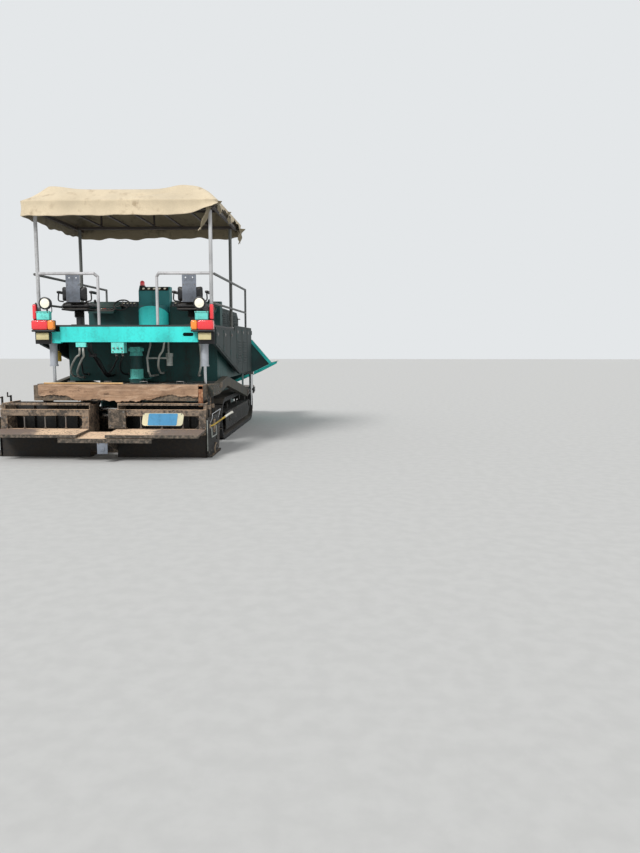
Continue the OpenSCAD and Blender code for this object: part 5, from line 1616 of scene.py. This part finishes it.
class PAVER_OT_end_gear(bpy.types.Operator):
    """Crank lever, chain, grab bar, rod, hook and bolts on the end plates"""

    bl_idname = "paver.end_gear"
    bl_label = "End plate gear"

    def execute(self, context):
        out = 1232
        lever = [
            ("yellow_paint", rod([
                (out - 2, -403, 415), (1262, -330, 420), (1317, -170, 458), (1380, -50, 505),
            ], 11, 24)),
            ("white_paint", rod([(1378, -54, 503), (1420, 20, 535), (1458, 78, 557)], 15, 12)),
            ("white_paint", knob(mm(1448, 62, 550), (0.45, 0.8, 0.3), 21, 26)),
            ("worn_steel", chain((1316, -172, 448), (1300, -172, 70))),
            ("worn_steel", chain((1262, -330, 412), (out + 16, -300, 262))),
        ]
        forms = Forms([
            ("dusty_steel", slab((out - 2, -430, 385), (out + 12, -370, 445), 5)),
            ("rod_chrome", rod([
                (out - 2, 255, 470), (1250, 272, 560), (1259, 260, 586), (1260, 0, 580),
                (1260, -320, 571), (1260, -346, 560), (1258, -350, 520), (out - 2, -352, 452),
            ], 6, 60)),
            ("pale_metal", rod([
                (out - 2, -380, 386), (out + 20, -380, 380), (out + 24, -372, 275),
                (out + 24, -340, 263), (out + 24, -84, 263), (out + 24, -52, 275),
                (out + 20, -44, 380), (out - 2, -44, 386),
            ], 8, 60)),
            ("dusty_steel", rod([
                (out - 2, -40, 139), (out + 26, -60, 142), (out + 30, -130, 140),
                (out + 30, -205, 110), (out + 30, -213, 60), (out + 28, -170, 30),
            ], 8, 40)),
            ("pale_metal", rod([(1222, -506, 92), (1222, -506, 505)], 7)),
            ("dusty_steel", slab((out - 1, -150, 300), (out + 16, -60, 480), 5)),
            ("tarred_steel", slab((out - 1, 60, 180), (out + 10, 190, 440), 4)),
        ])
        spots = [(out, d, z) for d in (-470, -300, -120, 60, 250) for z in (70, 500)]
        forms.screw(spots, RIGHT, 11)
        boss = [(-130, 330), (-80, 330), (-105, 450)]
        forms.screw([(out + 16, d, z) for d, z in boss], RIGHT, 10)
        for side, sign in SIDES:
            fitted = forms.on_side(sign, outer_shift("end_plate", side))
            if sign > 0:
                fitted += lever
            piece(f"end_gear_{side}", fitted, f"end_plate_{side}")
        return {"FINISHED"}


def board(x0, x1, z0, z1, d, depth, corner):
    """Leaning board with round corners: x grows by 0.15 of the height above its lower edge."""
    line, _, _ = round_rectangle((x1 - x0) / 2, (z1 - z0) / 2, corner, 48)
    outline = line + [(x0 + x1) / 2, (z0 + z1) / 2]
    outline[:, 0] += 0.15 * (outline[:, 1] - z0)
    return plate(outline / 1000, mm(0, d, 0), depth / 1000, RIGHT, UP, 0.0015)


def gusset(x, z, turn, rise):
    """Corner plate of a frame's opening, its legs along turn in X and rise in Z."""
    outline = [(0, 0), (0.05, 0), (0.05, 0.012), (0.012, 0.05), (0, 0.05)]
    flat = [(turn * u, rise * v) for u, v in outline]
    flat = flat if turn * rise > 0 else flat[::-1]
    return plate(flat, mm(x, -460, z), 0.01, RIGHT, UP)


class PAVER_OT_extension_gear(bpy.types.Operator):
    """Bolts, gussets and adjusting screws of the extensions, and the blank board on the right"""

    bl_idname = "paver.extension_gear"
    bl_label = "Extension gear"

    def execute(self, context):
        forms = Forms()
        for x in (55, 1155):
            forms.screw([(x + s, -498, z) for s in (-22, 22) for z in (405, 530)], BACK, 8)
        for x, turn in ((100, 1), (1110, -1)):
            forms.add("asphalt_steel", gusset(x, 378, turn, 1), gusset(x, 556, turn, -1))
        nut = [(0, 0.019), (0.015, 0.019)]
        for x in (330, 610, 890):
            forms.add("worn_steel", rod([(x, -470, 370), (x, -470, 572)], 9))
            nuts = [turned(nut, mm(x, -470, z), UP, 6) for z in (382, 540)]
            forms.add("asphalt_steel", *nuts)
        forms.screw([(x, -500, 339) for x in range(150, 1100, 160)], BACK, 7)
        forms.screw([(x, -500, 612) for x in range(160, 1100, 310)], BACK, 7)
        forms.screw([(x, -420, 716) for x in range(90, 1150, 260)], UP, 8)
        forms.add("asphalt_steel", slab((1196, -300, 380), (1202, -160, 560), 3))
        forms.add("tarred_steel", slab((20, -112, 296), (1174, -106, 712), 2))
        for x in (300, 600, 900):
            forms.add("tarred_steel", slab((x - 5, -150, 300), (x + 5, -110, 700), 1))
        signs = Forms([
            ("sign_cream", board(346, 892, 426, 594, -500, 4, 38)),
            ("blue_paint", board(425, 812, 430, 590, -503.5, 2, 4)),
        ])
        signs.screw([(385, -504, 582), (885, -504, 582)], BACK, 6)
        for side, sign in SIDES:
            fitted = forms.on_side(sign, outer_shift("walkway", side))
            if sign > 0:
                fitted += signs
            piece(f"extension_gear_{side}", fitted, f"extension_{side}")
        return {"FINISHED"}


class PAVER_OT_screed_gear(bpy.types.Operator):
    """Rusty plate, hanging bracket, deck covers and bolts of the screed and its tow arms"""

    bl_idname = "paver.screed_gear"
    bl_label = "Screed gear"

    def execute(self, context):
        forms = Forms([
            ("rust_plate", slab((1083, -371, 668), (1143, -358, 944), 2)),
            ("rust_plate", slab((1082, -371, 900), (1143, -330, 956), 3)),
            ("plate_grey", slab((-98, -958, 116), (36, -948, 262), 2)),
            ("plate_grey", slab((-60, -964, 150), (0, -954, 200), 4)),
        ])
        forms.screw([(-78, -958, 248), (16, -958, 248)], BACK, 7)
        forms.screw([(x, -522, z) for x in (-66, 116) for z in (420, 610)], BACK, 10)
        for x in (-760, -250, 250, 760):
            forms.add("tarred_steel", slab((x - 210, -190, 948), (x + 210, 150, 956), 3))
            for d in (-150, 110):
                forms.screw([(x - 185, d, 956), (x + 185, d, 956)], UP, 8)
            handle = [(x - 50, 952), (x - 50, 985), (x + 50, 985), (x + 50, 952)]
            forms.add("worn_steel", rod([(u, -20, z) for u, z in handle], 6))
        side = Forms()
        side.screw([(1230, d, z) for d in (-20, 120, 250, 370) for z in (825, 905)], RIGHT, 11)
        side.add("asphalt_steel", slab((1228, 420, 868), (1238, 640, 946), 4))
        side.screw([(1238, d, 908) for d in (450, 610)], RIGHT, 9)
        pin = [(0, 0.05), (0.012, 0.05), (0.016, 0.044)]
        side.add("worn_steel", turned(pin, mm(1228, 3300, 620), RIGHT, 24))
        side.add("asphalt_steel", slab((1150, -58, 938), (1226, 60, 952), 3))
        forms += side.on_both()
        piece("screed_gear", forms, "screed")
        return {"FINISHED"}


# Dried asphalt: body, lowest and highest corner in millimetres, count, size and seed
CRUST = [
    ("extension_right", (30, -955, 361), (1190, -520, 376), 150, 9, 3),
    ("extension_left", (-1540, -955, 361), (-370, -520, 376), 150, 9, 4),
    ("extension_right", (20, -498, 634), (1190, -445, 637), 60, 8, 5),
    ("extension_left", (-1540, -498, 634), (-370, -445, 637), 60, 8, 6),
    ("extension_right", (20, -498, 377), (1190, -445, 380), 60, 9, 7),
    ("screed", (-970, -225, 952), (970, 200, 952), 220, 9, 8),
    ("screed", (-590, -955, 312), (-370, -560, 341), 50, 9, 9),
    ("end_plate_right", (1236, -450, 14), (1262, 190, 22), 70, 9, 10),
    ("end_plate_left", (-1612, -450, 14), (-1586, 190, 22), 70, 9, 11),
    ("tractor", (-630, 4000, 302), (-40, 5000, 306), 120, 12, 12),
    ("tractor", (40, 4000, 302), (630, 5000, 306), 120, 12, 13),
]


def icosahedron():
    """Corners at distance 1 and faces of an icosahedron, as a golden rectangle on each plane."""
    g = (1 + 5**0.5) / 2
    corners = np.array([
        (-1, g, 0), (1, g, 0), (-1, -g, 0), (1, -g, 0), (0, -1, g), (0, 1, g),
        (0, -1, -g), (0, 1, -g), (g, 0, -1), (g, 0, 1), (-g, 0, -1), (-g, 0, 1),
    ])
    faces = np.array([
        (0, 11, 5), (0, 5, 1), (0, 1, 7), (0, 7, 10), (0, 10, 11), (1, 5, 9), (5, 11, 4),
        (11, 10, 2), (10, 7, 6), (7, 1, 8), (3, 9, 4), (3, 4, 2), (3, 2, 6), (3, 6, 8),
        (3, 8, 9), (4, 9, 5), (2, 4, 11), (6, 2, 10), (8, 6, 7), (9, 8, 1),
    ])
    return corners / math.hypot(1, g), faces


def lumps(low, high, count, size, seed):
    """Icosahedra scattered between two corners, each stretched, dented and turned by chance.

    Their height rises from the rear corner's to the front corner's."""
    rng = np.random.default_rng(seed)
    corners, faces = icosahedron()
    share = rng.random((count, 3))
    share[:, 2] = share[:, 1]
    place = np.array(low) + (np.array(high) - np.array(low)) * share
    radius = size * (0.35 + 0.9 * rng.random((count, 1, 1)) ** 2)
    form = corners * radius * (0.75 + 0.5 * rng.random((count, 12, 1))) * [1.0, 1.0, 0.6]
    turn = rng.random(count) * 2 * math.pi
    c, s = np.cos(turn)[:, None], np.sin(turn)[:, None]
    x, y, z = np.moveaxis(form, 2, 0)
    spun = np.stack([x * c - y * s, x * s + y * c, z], 2)
    points = (spun + place[:, None]).reshape(-1, 3) / 1000 + [0, REAR, 0]
    return points, (faces[None] + 12 * np.arange(count)[:, None, None]).reshape(-1, 3).tolist()


class PAVER_OT_crust(bpy.types.Operator):
    """Dried lumps of asphalt on boards, beams, deck and end plates"""

    bl_idname = "paver.crust"
    bl_label = "Dried asphalt"

    def execute(self, context):
        for body in sorted({row[0] for row in CRUST}):
            forms = [("lump_crust", lumps(*row[1:])) for row in CRUST if row[0] == body]
            piece(f"crust_{body}", forms, body, 20.0)
        return {"FINISHED"}


class PAVER_OT_small_parts(bpy.types.Operator):
    """Post feet, hub caps, roller caps, clamps, cable bunch and oil bottle on the tractor"""

    bl_idname = "paver.small_parts"
    bl_label = "Small parts"

    def execute(self, context):
        side = Forms()
        for d in (50, 1690):
            side.add("grey_paint", slab((1148, d - 48, 1758), (1234, d + 48, 1768), 2))
            side.screw([(x, d + s, 1768) for x in (1162, 1224) for s in (-34, 34)], UP, 7)
        hub = [(0, 0.09), (0.012, 0.088), (0.02, 0.06), (0.03, 0.055), (0.034, 0.045)]
        side.add("tarred_steel", turned(hub, mm(1044, 1420, 328), RIGHT, 32))
        side.screw([(1046, 1420 + 74 * c, 328 + 74 * s) for c, s in ring(10)], RIGHT, 9)
        cap = [(0, 0.055), (0.014, 0.055), (0.022, 0.04)]
        side.add("tarred_steel", turned(cap, mm(1089, 4400, 330), RIGHT, 28))
        side.screw([(1103, 4400 + 40 * c, 330 + 40 * s) for c, s in ring(6)], RIGHT, 6)
        side.add("tarred_steel", slab((1088, 2050, 215), (1100, 2700, 300), 4))
        side.screw([(1100, d, z) for d in (2075, 2675) for z in (232, 283)], RIGHT, 9)
        for z in (375, 132):
            side.screw([(1090, d, z) for d in range(1780, 4150, 190)], RIGHT, 9)
        forms = side.on_both()
        forms.screw([(x, 8, z) for z in (1392, 1540) for x in (-172, -43)], BACK, 8)
        forms.add("worn_steel", *(knob(mm(x, -5, 1445), BACK, 11, 12) for x in (-160, -105, -50)))
        rng = np.random.default_rng(21)
        for k in range(7):
            x, sway = -560 + 12 * k, rng.uniform(-25, 25)
            cable = [
                (x, 60, 1530), (x + sway * 0.3, 80, 1430), (x + sway * 0.6, 190, 1352 - 4 * k),
                (x + sway, 330, 1296 - 5 * k), (x + sway + 30, 430, 1190 - 8 * k),
                (x + 60, 540, 1070), (x + 70, 700, 1010 + 6 * k), (x + 70, 848, 1010 + 6 * k),
            ]
            forms.add("hose_rubber", rod(cable, 5 + k % 2 * 1.5, 56, 8))
        forms.add("black_plastic", slab((-578, 176, 1318), (-466, 204, 1366), 6))
        hanger, hook = rod([(-1105, 470, 1380), (-1105, 470, 1736)], 7), mm(-1105, 430, 1250)
        forms.add("black_paint", hanger, slab((-1125, 436, 1330), (-1085, 476, 1345), 3))
        bottle = [
            (0, 0.03), (0.006, 0.036), (0.11, 0.036), (0.13, 0.024), (0.135, 0.016), (0.15, 0.016),
        ]
        forms.add("yellow_paint", turned(bottle, hook, UP, 24))
        lid = [(0.148, 0.02), (0.17, 0.02), (0.172, 0.016)]
        forms.add("black_plastic", turned(lid, hook, UP, 16))
        piece("small_parts", forms, "tractor")
        return {"FINISHED"}


CLASSES = [
    PAVER_PG_paint, PAVER_PG_stage, PAVER_PG_canopy, PAVER_PG_seats, PAVER_PG_mat,
    PAVER_PG_settings,
]
STEPS = [
    PAVER_OT_stage,
    PAVER_OT_finishes,
    PAVER_OT_canopy,
    PAVER_OT_seats,
    PAVER_OT_mat,
    PAVER_OT_hoses,
    PAVER_OT_lamps,
    PAVER_OT_panels,
    PAVER_OT_hood,
    PAVER_OT_controls,
    PAVER_OT_end_gear,
    PAVER_OT_extension_gear,
    PAVER_OT_screed_gear,
    PAVER_OT_crust,
    PAVER_OT_small_parts,
]


class PAVER_PT_panel(bpy.types.Panel):
    """Lists the steps that dress the paver"""

    bl_label = "Paver"
    bl_idname = "PAVER_PT_panel"
    bl_space_type = "VIEW_3D"
    bl_region_type = "UI"
    bl_category = "Paver"

    def draw(self, context):
        for step in STEPS:
            self.layout.operator(step.bl_idname)


def register():
    for cls in (*CLASSES, *STEPS, PAVER_PT_panel):
        bpy.utils.register_class(cls)
    bpy.types.Scene.paver = PointerProperty(type=PAVER_PG_settings)


def unregister():
    del bpy.types.Scene.paver
    for cls in reversed((*CLASSES, *STEPS, PAVER_PT_panel)):
        bpy.utils.unregister_class(cls)


def main():
    register()
    for step in STEPS:
        group, name = step.bl_idname.split(".")
        getattr(getattr(bpy.ops, group), name)()


if __name__ == "__main__":
    main()
